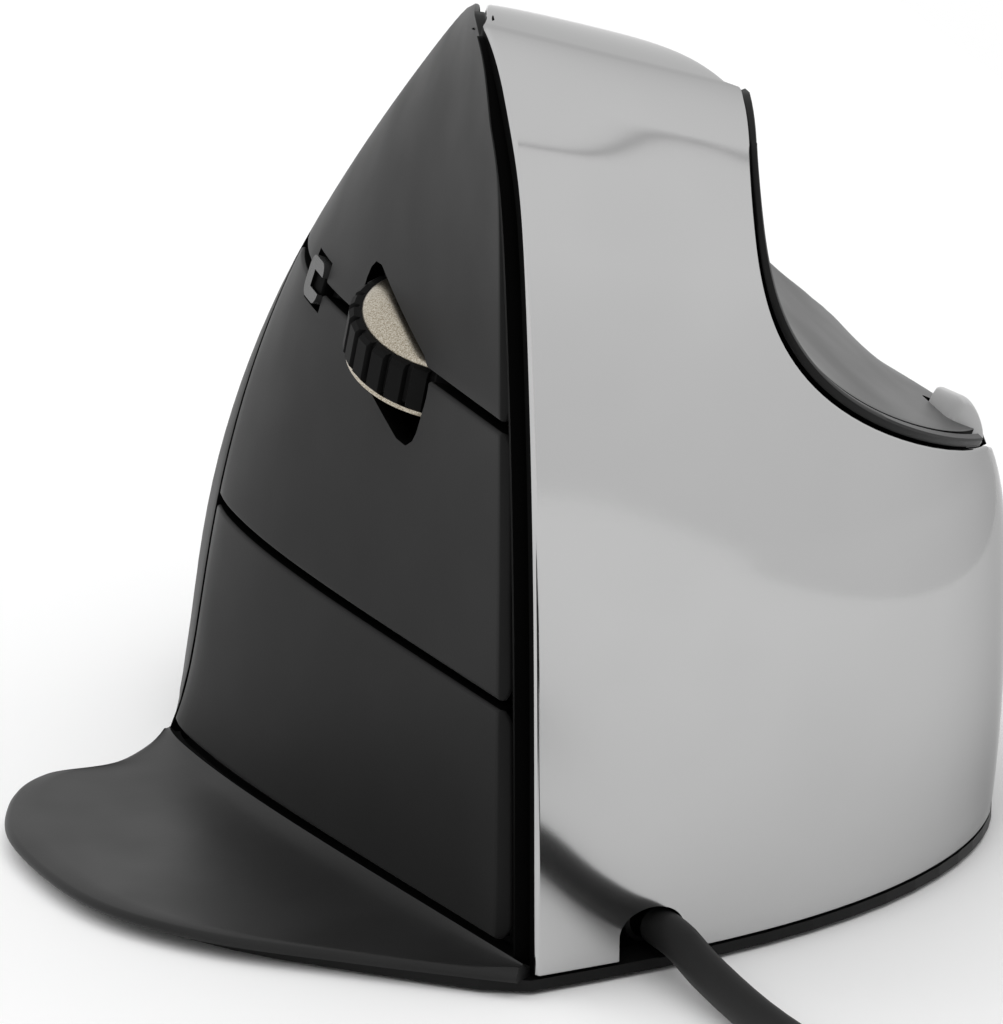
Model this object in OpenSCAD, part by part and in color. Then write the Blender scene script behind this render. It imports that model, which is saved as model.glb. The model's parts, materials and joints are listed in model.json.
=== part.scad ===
// Vertical ergonomic mouse: three finger buttons, scroll wheel, speed rocker, two thumb buttons and a cable.
// Millimetres, +Z up, the front (cable end) looks along -Y, the finger side along -X.

/* [Body] */
// height of the peak
body_h = 82; // [70:1:95]
// front end of the body on Y
front_end = -54; // [-65:1:-45]
// rear end of the body on Y
rear_end = 54; // [45:1:70]
// front corner on X, between the buttons and the silver panel
corner_x = -8.5; // [-14:0.5:-4]
// height where the front stands furthest forward
belly_z = 28; // [20:1:40]
// how far the finger side swells out at its foot
finger_swell = 29.3; // [20:0.1:36]
// width of the silver panel at the front corner's foot
panel_wide = 54.5; // [45:0.5:62]
// height of the thumb shelf's rim
shelf_z = 37.6; // [30:0.2:45]
// right side of the neck above the thumb shelf
neck_x = 13.3; // [9:0.1:18]

/* [Walls] */
// wall of the buttons
button_wall = 1.6; // [1.2:0.1:2.4]
// wall of the silver panel
panel_wall = 1.8; // [1.2:0.1:2.4]
// wall of the rear shell and of the thumb panel
shell_wall = 2; // [1.4:0.1:3]
// depth of the black frame under the finger surface
frame_depth = 3.4; // [3:0.1:5]
// wall of the black frame
frame_wall = 1.2; // [1:0.1:2.5]

/* [Buttons] */
// height of the groove between index and middle button
groove_high = 49.6; // [46:0.1:54]
// height of the groove between middle and ring button
groove_low = 25; // [22:0.1:30]
// lower edge of the ring button
ring_foot = 3.5; // [3:0.1:6]
// width of the upper groove
groove_wide = 1.2; // [0.8:0.1:1.6]
// rear edge of the buttons on Y
button_rear = 13.7; // [8:0.1:18]
// pin that a button turns on, radius
pivot_r = 1; // [0.8:0.1:1.4]

/* [Wheel] */
// radius over the tyre
wheel_r = 9.2; // [7:0.1:11]
// width over the gold rims
wheel_wide = 5.4; // [4:0.2:8]
// grooves round the tyre
tyre_grooves = 22; // [12:1:48]
// axle radius
axle_r = 1.2; // [0.8:0.1:1.8]

/* [Cable] */
// diameter of the cable
cable_d = 3.5; // [3:0.1:4.5]
// outer radius of the coil at the middle of the cable
coil_r = 26.4; // [22:0.1:34]
// turns in one layer of the coil
layer_turns = 2.805; // [1.8:0.005:4]
// distance between neighbouring turns and between layers
coil_pitch = 4; // [3.9:0.05:5]

/* [Hidden] */

$fn = 48;
SILVER = [0.75, 0.76, 0.77];
DARK = [0.2, 0.2, 0.21];
BLACK = [0.05, 0.05, 0.055];
GREY = [0.5, 0.5, 0.51];
GOLD = [0.72, 0.6, 0.4];
STEEL = [0.66, 0.67, 0.69];
GREEN = [0.1, 0.3, 0.17];
PALE = [0.85, 0.85, 0.82];

// heights of the layers at the bottom
feet_h = 0.4;
base_top = 1.4;
wall_foot = 1.6;

// small helpers
function clamp(v, low, high) = min(max(v, low), high);
function mix(a, b, t) = a + (b - a) * t;
function soft_min(a, b, k) = (a + b - sqrt((a - b) * (a - b) + k * k)) / 2;
function steps(n) = [for (i = [0:n]) i / n];
function unit(v) = v / max(norm(v), 1e-9);

// front edge: leans back above the belly and a little below it, slants back near the top and rounds over
function lean(z) = (z > belly_z ? 1.4 : 0.4) * pow((z - belly_z) / belly_z, 2);
function bend_back(z) =
    let (d = clamp(body_h - z, 0, 4), up = z - body_h + 10)
    0.4 * (sqrt(up * up + 16) + up) + 4 - sqrt(max(16 - pow(4 - d, 2), 0));
function front_x(z) = corner_x - 0.15 * (z - belly_z) / belly_z;
function front_y(z) = front_end + lean(z) + bend_back(z);
peak_x = front_x(body_h);
peak_y = front_y(body_h);

// spine from the peak down to the rear end
function rear_y(z) =
    let (rise = pow(clamp(z / body_h, 0, 1), 1.7))
    peak_y + (rear_end - peak_y) * pow(max(1 - rise, 0), 1 / 1.75);
function rear_x(z) = peak_x + 0.25 * (rear_y(z) - peak_y);
function ridge_z(y) =
    body_h * pow(1 - pow(clamp((y - peak_y) / (rear_end - peak_y), 0, 1), 1.75), 1 / 1.7);
function ridge_x(y) = peak_x + 0.25 * (y - peak_y);

// finger side: level curves from the front edge round to the spine
function swell(z) = finger_swell * pow(max(1 - pow(z / body_h, 1.85), 0), 1.2) + 4.5 * exp(-z / 5);
function past_button(y, start, reach) = 1 - exp(-pow(max(y - start, 0) / reach, 2));
function tuck(y, z) =
    3 * max(1 - z / 48, 0) * past_button(y, 9, 12) + 9 * exp(-z / 6) * past_button(y, 18, 9)
    + 5 * exp(-z / 2.5) * past_button(y, 12, 5);
function finger_x(y, z) =
    let (a = front_y(z), b = rear_y(z), t = clamp((y - a) / max(b - a, 0.01), 0, 1))
    mix(front_x(z), rear_x(z), t) - (swell(z) * 1.75 * t - tuck(y, z)) * sqrt(max(1 - pow(t, 4), 0));
function finger(y, z) = [finger_x(y, z), y, z];

// silver face: level curves from the front corner round to the thumb side
function wide(z) = panel_wide - 1.2 * pow((z - 20) / 20, 2);
roof_bend = 1.15;
roof_fall = 7.8;
roof_right = 73.6;
function top_fall(x) = roof_fall * pow(max(x - corner_x, 0) / 21.5, roof_bend);
function face_y(x, z) =
    let (d = x - front_x(z), s = clamp(d / wide(z), 0, 1))
    front_end + lean(z) + 0.16 * d + 0.05 * d * exp(-max(d, 0) / 12)
    + 31 * (1 - sqrt(max(1 - pow(s, 2.4), 0))) + bend_back(min(z + top_fall(x), body_h));
function face(x, z) = [x, face_y(x, z), z];

// right edge of the silver face: up the side, in over the shelf, up the neck
// the hollow's bend softens with the distance past that edge
function neck(z, past = 0) =
    let (d = z - shelf_z + 0.06 * past, bend = max(0.09 - 0.002 * past, 0.02))
    neck_x + 28 * exp(-(bend * d + 0.0022 * d * max(d, 0))) + 0.0036 * pow(max(z - 54, 0), 2);
function silver_x(z) = soft_min(front_x(z) + 0.985 * wide(z), neck(z), 2);

// thumb side: level curves from that edge, one trim width further out, round to the spine
trim = 0.6;
function roof_x(z) = corner_x + 21.5 * pow(max(body_h - z, 0) / roof_fall, 1 / roof_bend);
function edge_x(z, past = 0) =
    soft_min(soft_min(front_x(z) + 0.985 * wide(z), neck(z - trim, past) + trim, 2), roof_x(z), 1.6);
function edge_y(z) = face_y(edge_x(z), min(z, body_h - top_fall(edge_x(z))));
function side_flow(z) = 0.27 / (1 + exp(z - 34));
function side_x(y, z) =
    let (a = edge_y(z), b = rear_y(z), t = clamp((y - a) / max(b - a, 0.01), 0, 1), past = max(y - a, 0))
    rear_x(z) + (edge_x(z, past) - rear_x(z)) * sqrt(max(1 - pow(t, 2.5), 0))
    + side_flow(z) * past * exp(-past / 6);
function side(y, z) = [side_x(y, z), y, z];
function roof_z(x, y, low = 0, high = body_h, left = 24) =
    let (m = (low + high) / 2)
    left == 0 ? m : side_x(y, m) > x ? roof_z(x, y, m, high, left - 1) : roof_z(x, y, low, m, left - 1);

// upper and lower edge of the thumb panel where it meets the rear shell
function roof_edge(y) =
    min(roof_right - 0.6 + max(y - shell_front, 0), max(ridge_z(y) - 3.2, ridge_z(y) * 0.85));
function rim_edge(y) = min(34.8 - 0.08 * max(y + 20, 0), ridge_z(y) * 0.6);

// points of a curve through hand-chosen points
function curve_at(p, t) =
    let (n = len(p) - 1, i = min(floor(t * n), n - 1), s = t * n - i,
         a = p[max(i - 1, 0)], b = p[i], c = p[i + 1], d = p[min(i + 2, n)])
    b + s * (c - a) / 2 + s * s * (a - 2.5 * b + 2 * c - 0.5 * d) + s * s * s * (1.5 * (b - c) + (d - a) / 2);
function curve(p, n) = [for (t = steps(n)) curve_at(p, t)];
function path_length(p) = len(p) < 2 ? 0 : [for (i = 1, s = norm(p[1] - p[0]); i < len(p);
    i = i + 1, s = i < len(p) ? s + norm(p[i] - p[i - 1]) : s) s][len(p) - 2];

// a wall from a grid of surface points, from one depth to another, where the mask keeps it
function grid_normal(g, i, j) =
    let (r = len(g) - 1, c = len(g[0]) - 1,
         du = g[i][min(j + 1, c)] - g[i][max(j - 1, 0)], dv = g[min(i + 1, r)][j] - g[max(i - 1, 0)][j])
    unit(cross(dv, du));
function above_base(p) = [p[0], p[1], max(p[2], base_top + 0.1)];
function sunk(g, depth) =
    [for (i = [0:len(g) - 1]) for (j = [0:len(g[0]) - 1]) above_base(g[i][j] - depth * grid_normal(g, i, j))];
function quad(a, b, c, d) = [[a, b, c], [a, c, d]];
function reversed(list) = [for (i = [len(list) - 1:-1:0]) list[i]];
module wall(g, depth_out, depth_in, keep = function (i, j) true) {
    rows = len(g) - 1;
    cols = len(g[0]);
    far = len(g) * cols;
    held = function (i, j) i >= 0 && j >= 0 && i < rows && j < cols - 1 && keep(i, j);
    at = function (i, j) i * cols + j;
    faces = [for (i = [0:rows - 1]) for (j = [0:cols - 2]) if (held(i, j))
        let (a = at(i, j), b = at(i, j + 1), c = at(i + 1, j + 1), d = at(i + 1, j))
        each concat(
            quad(a, b, c, d),
            quad(far + d, far + c, far + b, far + a),
            held(i - 1, j) ? [] : quad(b, a, far + a, far + b),
            held(i, j + 1) ? [] : quad(c, b, far + b, far + c),
            held(i + 1, j) ? [] : quad(d, c, far + c, far + d),
            held(i, j - 1) ? [] : quad(a, d, far + d, far + a))];
    polyhedron(concat(sunk(g, depth_out), sunk(g, depth_in)), faces);
}

// a solid through rings of equally many points, ends closed
module skin(rings) {
    n = len(rings[0]);
    last = (len(rings) - 1) * n;
    points = [for (r = rings) each r];
    faces = concat(
        [for (k = [1:n - 2]) [0, k, k + 1]],
        [for (k = [1:n - 2]) [last, last + k + 1, last + k]],
        [for (i = [0:len(rings) - 2]) for (k = [0:n - 1])
            let (a = i * n + k, b = i * n + (k + 1) % n) each quad(a, a + n, b + n, b)]);
    polyhedron(points, faces);
}

// a round tube along a path
function path_dir(p, i) = unit(p[min(i + 1, len(p) - 1)] - p[max(i - 1, 0)]);
function tube_ring(p, i, r, sides) =
    let (d = path_dir(p, i), e = unit(cross(d, [0, 0, 1])), f = cross(e, d))
    [for (k = [0:sides - 1]) p[i] + r * (e * cos(360 * k / sides) - f * sin(360 * k / sides))];
module tube(p, r, sides) {
    skin([for (i = [0:len(p) - 1]) tube_ring(p, i, r, sides)]);
}

module rounded_box(size, r) {
    linear_extrude(size[2], center = true)
        polygon([for (c = [[1, 1, 0], [-1, 1, 90], [-1, -1, 180], [1, -1, 270]]) for (a = [0:15:90])
            [c[0] * (size[0] / 2 - r) + r * cos(c[2] + a), c[1] * (size[1] / 2 - r) + r * sin(c[2] + a)]]);
}

// places of the inner parts
module at_switches() { translate([-12.2, -38, 37]) rotate([0, 5, 13]) children(); }
module at_wheel() { translate([-7.2, -20.3, 49]) rotate([18, 6, 0]) children(); }
module at_rocker() { translate([-14.55, -0.24, 49.7]) rotate([0, 18, 0]) translate([4, 0, 0]) children(); }
module at_upper_thumb() { translate([15, -27, 70.3]) children(); }
module at_lower_thumb() { translate([39.2, -18, 38.9]) rotate([0, 29, 0]) children(); }
module at_cable() { translate([4.3, -49.5, 3.9]) rotate([0, 0, 13.9]) rotate([90, 0, 0]) children(); }

// pivots of the buttons: place, lean, half length of the button's lug, length of each frame lug
INDEX_PIVOT = [[-5.1, 11, 52.3], 30, 2.2, 2];
MIDDLE_PIVOT = [[-13.2, 11, 36.5], 18, 3, 3];
RING_PIVOT = [[-18.3, 11, 13.6], 11, 3, 3];
PIVOTS = [INDEX_PIVOT, MIDDLE_PIVOT, RING_PIVOT];
lug_r = 2.3;
lug_gap = 0.4;
module at_pivot(p) { translate(p[0]) rotate([0, p[1], 0]) children(); }

// switch places along the board and where each button's nub starts
SWITCH_Z = [25, 0, -25];
NUB_START = [1.5, 1.5, 2.8];
nub_end = 5.2;
plunger_start = 5.5;
switch_start = 7;
switch_deep = 6;
board_thick = 1.6;

// finger buttons
function near_top(z) = clamp((z - body_h + 7) / 7, 0, 1);
function bevel_at(z) = 4.3 + 1.2 * near_top(z);
roof_flange = 1.6;
roof_gap = 2.6;
function with_bevel(row, edge) =
    concat([[max(front_x(edge) - 0.5, row[0][0] + 0.6), row[0][1] - 0.5, row[0][2]]], row);
function button_y(edge, u) = mix(front_y(edge) + bevel_at(edge), button_rear, pow(u, 1.2));
function level_rows(low, high, rows, cols) =
    [for (v = steps(rows)) let (z = mix(low, high, v))
        with_bevel([for (u = steps(cols)) finger(button_y(z, u), z)], z)];
function index_row(low, w, cols) =
    let (edge = mix(low, body_h, w))
    with_bevel([for (u = steps(cols)) let (top = ridge_z(button_y(body_h, u)))
        finger(button_y(edge, u), mix(low, top, w))], edge);
function index_roof_row(past, cols) =
    with_bevel([for (u = steps(cols)) let (y = button_y(body_h, u), x = ridge_x(y) + past)
        [x, y, roof_z(x, y)]], body_h);
function index_rows(low, rows, cols) = concat(
    [for (v = steps(rows)) index_row(low, 1 - pow(1 - v, 1.5), cols)],
    [for (past = [0.6, roof_flange]) index_roof_row(past, cols)]);

module wheel_slot(r, wide) { at_wheel() translate([0, 0.6, -0.3]) cylinder(r = r, h = wide, center = true); }
module rocker_slot(y, z) { at_rocker() translate([-2, 0, 0]) cube([14, y, z], center = true); }
module button_lug(p) {
    at_pivot(p) difference() {
        union() {
            cylinder(r = lug_r, h = 2 * p[2], center = true);
            translate([-4, -1.5, -p[2]]) cube([4, 3, 2 * p[2]]);
        }
        cylinder(r = pivot_r + 0.05, h = 20, center = true);
    }
}
module button_nub(k) {
    at_switches() translate([NUB_START[k], 0, SWITCH_Z[k]]) rotate([0, 90, 0])
        cylinder(r = 1.8, h = nub_end - NUB_START[k]);
}
module pivot_pin(p) {
    color(STEEL) at_pivot(p) cylinder(r = pivot_r, h = 2 * (p[2] + lug_gap + p[3]), center = true);
}

module index_button() {
    color(DARK) {
        difference() {
            wall(index_rows(groove_high + groove_wide / 2, 9, 14), 0, button_wall);
            wheel_slot(11, 9.8);
            rocker_slot(6.6, 5.4);
        }
        button_lug(INDEX_PIVOT);
        button_nub(0);
    }
}
module middle_button() {
    color(DARK) {
        difference() {
            wall(level_rows(groove_low + 0.45, groove_high - groove_wide / 2, 7, 14), 0, button_wall);
            wheel_slot(11, 9.8);
            rocker_slot(6.6, 5.4);
        }
        button_lug(MIDDLE_PIVOT);
        button_nub(1);
    }
}
module ring_button() {
    color(DARK) {
        wall(level_rows(ring_foot, groove_low - 0.45, 7, 14), 0, button_wall);
        button_lug(RING_PIVOT);
        button_nub(2);
    }
}

// black frame under the buttons, with the lugs of their pins
// how far its upper edge stays under the ridge, at the front and at the rear
frame_low = 12;
frame_low_rear = 5.5;
frame_rear = 19;
function frame_rows(rows, cols) =
    [for (v = steps(rows)) let (edge = mix(wall_foot, body_h - frame_low, v))
        [for (u = steps(cols)) let (back = pow(u, 1.2), y = mix(peak_y, frame_rear, back),
            top = ridge_z(y) - mix(frame_low, frame_low_rear, back))
            finger(mix(front_y(edge) + 3.5, frame_rear, back), mix(wall_foot, top, v))]];
module button_frame() {
    color(BLACK) difference() {
        union() {
            difference() {
                wall(frame_rows(14, 13), frame_depth, frame_depth + frame_wall);
                wheel_slot(13.6, 19);
                rocker_slot(11, 9.4);
                for (k = [0:2])
                    at_switches() translate([6, 0, SWITCH_Z[k]]) rotate([0, 90, 0])
                        cylinder(r = 2.8, h = 14, center = true);
                for (p = PIVOTS)
                    at_pivot(p) cube([9, 7, 2 * (p[2] + lug_gap)], center = true);
            }
            for (p = PIVOTS) for (m = [0, 1])
                at_pivot(p) mirror([0, 0, m]) translate([0, 0, p[2] + lug_gap]) cylinder(r = lug_r, h = p[3]);
            for (m = [0, 1])
                at_rocker() mirror([0, m, 0]) translate([0, 5.9, 0]) rotate([-90, 0, 0])
                    cylinder(r = 1.8, h = 1.6);
        }
        for (p = PIVOTS)
            at_pivot(p) cylinder(r = pivot_r + 0.02, h = 2 * (p[2] + lug_gap + p[3]) + 1, center = true);
        at_rocker() rotate([90, 0, 0]) cylinder(r = 0.82, h = 16, center = true);
    }
}

// switches behind the finger buttons
module finger_switch(k) {
    color(BLACK) at_switches() translate([switch_start, 0, SWITCH_Z[k]]) difference() {
        translate([0, -6, -3]) cube([switch_deep, 12, 6]);
        translate([-1, 0, 0]) rotate([0, 90, 0]) cylinder(r = 1.25, h = 4.5);
    }
}
module finger_plunger(k) {
    color(PALE) at_switches() translate([plunger_start, 0, SWITCH_Z[k]]) rotate([0, 90, 0])
        cylinder(r = 1.2, h = 3.6);
}
module button_board() {
    color(GREEN) at_switches() translate([switch_start + switch_deep, -6.5, -29.5])
        cube([board_thick, 13, 60]);
}

// silver front panel, carried a little way back over the roof
function panel_left(w) = let (z = mix(wall_foot, 81.6, w)) front_x(z) + 0.75 + 2.5 * near_top(z);
function panel_right(w) = silver_x(mix(wall_foot, roof_right, w));
function panel_row(w, cols) =
    [for (u = steps(cols)) let (q = 1 - pow(1 - u, 1.5),
        top = body_h - 0.3 - top_fall(mix(panel_left(1), panel_right(1), q)))
        face(mix(panel_left(w), panel_right(w), q), mix(wall_foot, top, w))];
function roof_row(back, cols) =
    let (end = shell_front - 0.4, crest = mix(peak_y, end, back),
         left = ridge_x(crest) + mix(3.4, roof_flange + roof_gap, min(back * 4, 1)),
         right = side_x(mix(edge_y(roof_right), end, back), roof_right) - trim)
    [for (u = steps(cols)) let (x = mix(left, right, 1 - pow(1 - u, 1.5)),
        y = mix(face_y(x, body_h - top_fall(x)), end, back)) [x, y, roof_z(x, y)]];
function panel_rows(rows, cols) = concat(
    [for (v = steps(rows)) panel_row(1 - pow(1 - v, 1.5), cols)],
    [for (back = [0.04, 0.1, 0.25, 0.4, 0.6, 0.8, 1]) roof_row(back, cols)]);
module front_panel() {
    color(SILVER) difference() {
        wall(reversed(panel_rows(22, 16)), 0, panel_wall);
        at_cable() cylinder(r = 2.7, h = 12, center = true);
        at_cable() translate([-2.7, -5, -6]) cube([5.4, 5, 12]);
    }
}

// rear shell: hoops from the finger side over the spine to the thumb side
shell_front = -12;
shell_split = 14.4;
finger_steps = 9;
roof_steps = 5;
thumb_steps = 7;
foot_steps = 6;
function roof_start(y) =
    let (x = ridge_x(y)) roof_z(x + min(roof_flange + roof_gap, 0.15 * (side_x(y, wall_foot) - x)), y);
function foot_back(y, z) = 0.8 * exp(-z / 8) * (rear_end - y) / (rear_end - shell_split);
function hoop(y, forward) = concat(
    [for (t = steps(finger_steps)) let (z = mix(wall_foot, ridge_z(y), 1 - pow(1 - t, 1.7)))
        finger(y + foot_back(y, z), z)],
    [for (i = [0:roof_steps]) side(y, mix(roof_start(y), roof_edge(y), pow(i / roof_steps, 1.4)))],
    [for (i = [1:thumb_steps - 1]) side(y, mix(roof_edge(y), rim_edge(y), i / thumb_steps))],
    [for (i = [0:foot_steps]) let (z = mix(rim_edge(y), wall_foot, i / foot_steps))
        side(forward > 0 ? mix(shell_split, edge_y(z) + 0.8, forward) : y, z)]);
rear_hoops = 9;
front_hoops = 6;
hoops = concat(
    [for (t = steps(rear_hoops)) hoop(mix(rear_end - 0.3, shell_split, pow(t, 1.9)), 0)],
    [for (i = [1:front_hoops]) hoop(mix(shell_split, shell_front, i / front_hoops), i / front_hoops)]);
POSTS = [[14, 34], [24, 20]];
function post_top(p) = min([for (a = [0:45:315]) roof_z(p[0] + 3 * cos(a), p[1] + 3 * sin(a))]) - 0.8;
module rear_shell() {
    first = finger_steps + 1;
    roof_end = first + roof_steps;
    thumb_end = roof_end + thumb_steps;
    color(DARK) {
        wall(hoops, 0, shell_wall, function (i, j)
            i < rear_hoops || (j >= first && j < roof_end) || j >= thumb_end);
        for (p = POSTS)
            translate([p[0], p[1], 8.2]) difference() {
                cylinder(r = 3, h = post_top(p) - 8.2);
                translate([0, 0, -1]) cylinder(r = 1.22, h = 9);
            }
    }
}

// thumb hollow with the openings of its two buttons
function thumb_top(y) =
    min(roof_edge(y) - 0.6, 72 - 1.4 * clamp((-28 - y) / 4, 0, 1) + max(y - shell_front - 3, 0));
function thumb_z(y, v) = mix(rim_edge(y) + 0.5, thumb_top(y), pow(v, 1.5));
function thumb_y(u, v, y, left) =
    left == 0 ? y : thumb_y(u, v, mix(edge_y(thumb_z(y, v)) + 2.7, shell_split - 0.4, u), left - 1);
function thumb_row(v, cols) =
    [for (u = steps(cols)) let (y = thumb_y(u, v, shell_front, 5)) side(y, thumb_z(y, v))];
module thumb_panel() {
    color(GREY) difference() {
        wall([for (v = steps(22)) thumb_row(1 - v, 12)], 0, shell_wall);
        at_upper_thumb() cube([9, 10.8, 5.2], center = true);
        at_lower_thumb() translate([1.35, lower_ahead, 0]) cube([5.4, 8.4, 9], center = true);
    }
}
function trim_ring(z) =
    let (x = silver_x(z), y = face_y(x, z))
    [for (c = [[0.15, 0.2], [trim, 0.6], [trim, 2], [0.15, 2]])
        [x + c[0], y + c[1], z + c[0] * (z > 70 ? 0.3 : 1)]];
module thumb_edge_trim() {
    color(BLACK) skin([for (t = steps(30)) trim_ring(mix(38.4, roof_right - 0.2, pow(t, 1.3)))]);
}

// thumb buttons with their plungers, switches and boards
UPPER_FACE = [[-2.4, -2.2], [1, -2.2], [1.5, -1.7], [1.75, -0.6], [1.75, 0.6], [1.5, 1.7], [0.9, 2.2],
    [-2.4, 0.2]];
module thumb_upper_button() {
    color(GREY) at_upper_thumb() {
        rotate([90, 0, 0]) linear_extrude(10, center = true) polygon(UPPER_FACE);
        translate([-5, 0, 0]) rotate([0, 90, 0]) cylinder(r = 1.5, h = 3);
    }
}
module thumb_plunger() { rotate([0, 90, 0]) cylinder(r = 1, h = 2.6); }
module thumb_switch() {
    difference() {
        translate([0, -5, -2.5]) cube([5, 10, 5]);
        translate([-1, 0, 0]) rotate([0, 90, 0]) cylinder(r = 1.05, h = 3.8);
    }
}
module thumb_upper_plunger() {
    color(PALE) at_upper_thumb() translate([-5.3, 0, 0]) mirror([1, 0, 0]) thumb_plunger();
}
module thumb_upper_switch() {
    color(BLACK) at_upper_thumb() translate([-6.5, 0, 0]) mirror([1, 0, 0]) thumb_switch();
}
module thumb_upper_board() {
    color(GREEN) at_upper_thumb() translate([-13.1, -8, -3]) cube([board_thick, 16, 6]);
}

LOWER_FACE = [[-0.7, -2], [2.8, -2], [3.3, -1], [3.4, 0], [3, 0.8], [2.2, 1.7], [1.2, 2.5], [0.3, 2.9],
    [-0.3, 2.9], [-0.7, 2.5]];
lower_ahead = -1.5;
module thumb_lower_button() {
    color(GREY) at_lower_thumb() {
        translate([0, lower_ahead, -0.6]) rotate([82, 0, 0])
            linear_extrude(7, center = true) polygon(LOWER_FACE);
        translate([0, 0, -5]) cylinder(r = 1, h = 3);
    }
}
module thumb_lower_plunger() {
    color(PALE) at_lower_thumb() translate([0, 0, -5.3]) rotate([0, 90, 0]) thumb_plunger();
}
module thumb_lower_switch() {
    color(BLACK) at_lower_thumb() translate([0, 0, -6.5]) rotate([0, 90, 0]) thumb_switch();
}
module thumb_lower_board() {
    color(GREEN) at_lower_thumb() translate([-4, -8, -13.1]) cube([8, 16, board_thick]);
}

// scroll wheel on its clicking cradle
arm_in = 4.2;
arm_out = 6;
pin_place = [5, 9.5];
module wheel_hub() {
    half = wheel_wide / 2;
    color(GOLD) at_wheel() rotate_extrude() polygon([
        [axle_r, -half - 0.6], [3, -half - 0.6], [3, -half], [8.1, -half], [8.7, -half + 0.3],
        [8.7, -half + 0.6], [6.6, -half + 0.6], [6.6, half - 0.6], [8.7, half - 0.6],
        [8.7, half - 0.3], [8.1, half], [3, half], [3, half + 0.6], [axle_r, half + 0.6]]);
}
module wheel_tyre() {
    half = wheel_wide / 2 - 0.6;
    color(BLACK) at_wheel() difference() {
        rotate_extrude() polygon([[6.6, -half], [wheel_r - 0.5, -half], [wheel_r, -half + 0.5],
            [wheel_r, half - 0.5], [wheel_r - 0.5, half], [6.6, half]]);
        for (k = [1:tyre_grooves])
            rotate([0, 0, 360 * k / tyre_grooves]) translate([wheel_r, 0, 0])
                cube([1.2, 0.7, wheel_wide], center = true);
    }
}
module wheel_axle() { color(STEEL) at_wheel() translate([0, 0, -9.4]) cylinder(r = axle_r, h = 16.4); }
module cradle_side() {
    polygon([[-2.4, -2.4], [11.6, -2.4], [11.6, 3], [9, 3], [7.4, 11.9], [2.6, 11.9], [-2.4, 2.4]]);
}
module wheel_cradle() {
    color(BLACK) at_wheel() difference() {
        union() {
            for (m = [0, 1])
                mirror([0, 0, m]) translate([0, 0, arm_in]) linear_extrude(arm_out - arm_in) cradle_side();
            translate([10, -2.2, 0.2 - arm_out]) cube([1.4, 5, 2 * arm_out - 0.4]);
        }
        cylinder(r = axle_r + 0.05, h = 40, center = true);
        translate([pin_place[0], pin_place[1], 0]) cylinder(r = pivot_r + 0.05, h = 40, center = true);
    }
}
module wheel_encoder() {
    color(BLACK) at_wheel() difference() {
        translate([-1.7, -2.4, -9]) cube([8, 4.8, 2.8]);
        cylinder(r = axle_r + 0.05, h = 40, center = true);
    }
}
module cradle_pin() {
    color(STEEL) at_wheel() translate([pin_place[0], pin_place[1], 0])
        cylinder(r = pivot_r, h = 16, center = true);
}
module wheel_bracket() {
    color(BLACK) at_wheel() difference() {
        union() {
            for (m = [0, 1]) mirror([0, 0, m]) translate([1, 7, 6.5]) cube([16.2, 5, 1.6]);
            translate([15.8, -5, -8.1]) cube([1.4, 17, 16.2]);
        }
        translate([pin_place[0], pin_place[1], 0]) cylinder(r = pivot_r + 0.02, h = 40, center = true);
    }
}
module wheel_switch() { color(BLACK) at_wheel() translate([12.6, -3, -3]) cube([3.2, 6, 6]); }

// speed rocker in the groove behind the wheel
ROCKER_FACE = [[-4.6, -1.8], [-4.9, -1.2], [-4.4, -0.6], [-4.3, 0], [-4.4, 0.6], [-4.9, 1.2], [-4.6, 1.8],
    [-3.6, 2.2], [-1, 2.2], [1.2, 1.4], [1.2, -1.4], [-1, -2.2], [-3.6, -2.2]];
module speed_rocker() {
    color(GREY) at_rocker() difference() {
        union() {
            rotate([90, 0, 0]) linear_extrude(5.8, center = true) polygon(ROCKER_FACE);
            rotate([90, 0, 0]) cylinder(r = 1.6, h = 9.4, center = true);
        }
        rotate([90, 0, 0]) cylinder(r = 0.85, h = 20, center = true);
    }
}
module rocker_pin() { color(STEEL) at_rocker() rotate([90, 0, 0]) cylinder(r = 0.8, h = 15, center = true); }
module rocker_board() { color(GREEN) at_rocker() translate([5.2, -5.5, -5]) cube([1.2, 11, 10]); }
module rocker_switches() {
    color(STEEL) for (s = [-1, 1]) at_rocker() translate([2.9, -2, s * 2.9 - 1.3]) cube([2.3, 4, 2.6]);
}

// dark wing along the foot of the finger side: outer edge, and the wall it meets
LIP_EDGE = [[-9.5, -53.9], [-22, -46], [-34, -37.5], [-42, -27], [-45.7, -12], [-44.4, -1.6],
    [-40.3, 4.8], [-33, 6.4], [-27.2, 13]];
LIP_WALL_Y = [-53, -46, -38, -28, -16, -6, 2, 8, 13.4];
lip_steps = 24;
lip_edge = curve(LIP_EDGE, lip_steps);
lip_wall = [for (y = curve(LIP_WALL_Y, lip_steps))
    let (p = finger(max(y, front_y(2.7) + 0.3), 2.7)) [p[0], p[1]]];
function lip_ring(k) =
    let (w = lip_wall[k], e = lip_edge[k], out = unit(e - w), reach = norm(e - w),
         far = max(reach, 0.9), at = function (d, z) concat(w + out * d, z))
    [at(far - 0.25, base_top), at(far, 1.8), at(far - 0.1, 2.2), at(far - 0.6, 2.5), at(far * 0.5, 2.6),
     at(0.15, 3), at(-0.5, 2.2), at(-1.1, 2.1), at(-1.1, base_top)];
module side_lip() {
    color(DARK) skin([for (k = [0:lip_steps]) lip_ring(k)]);
}

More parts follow.
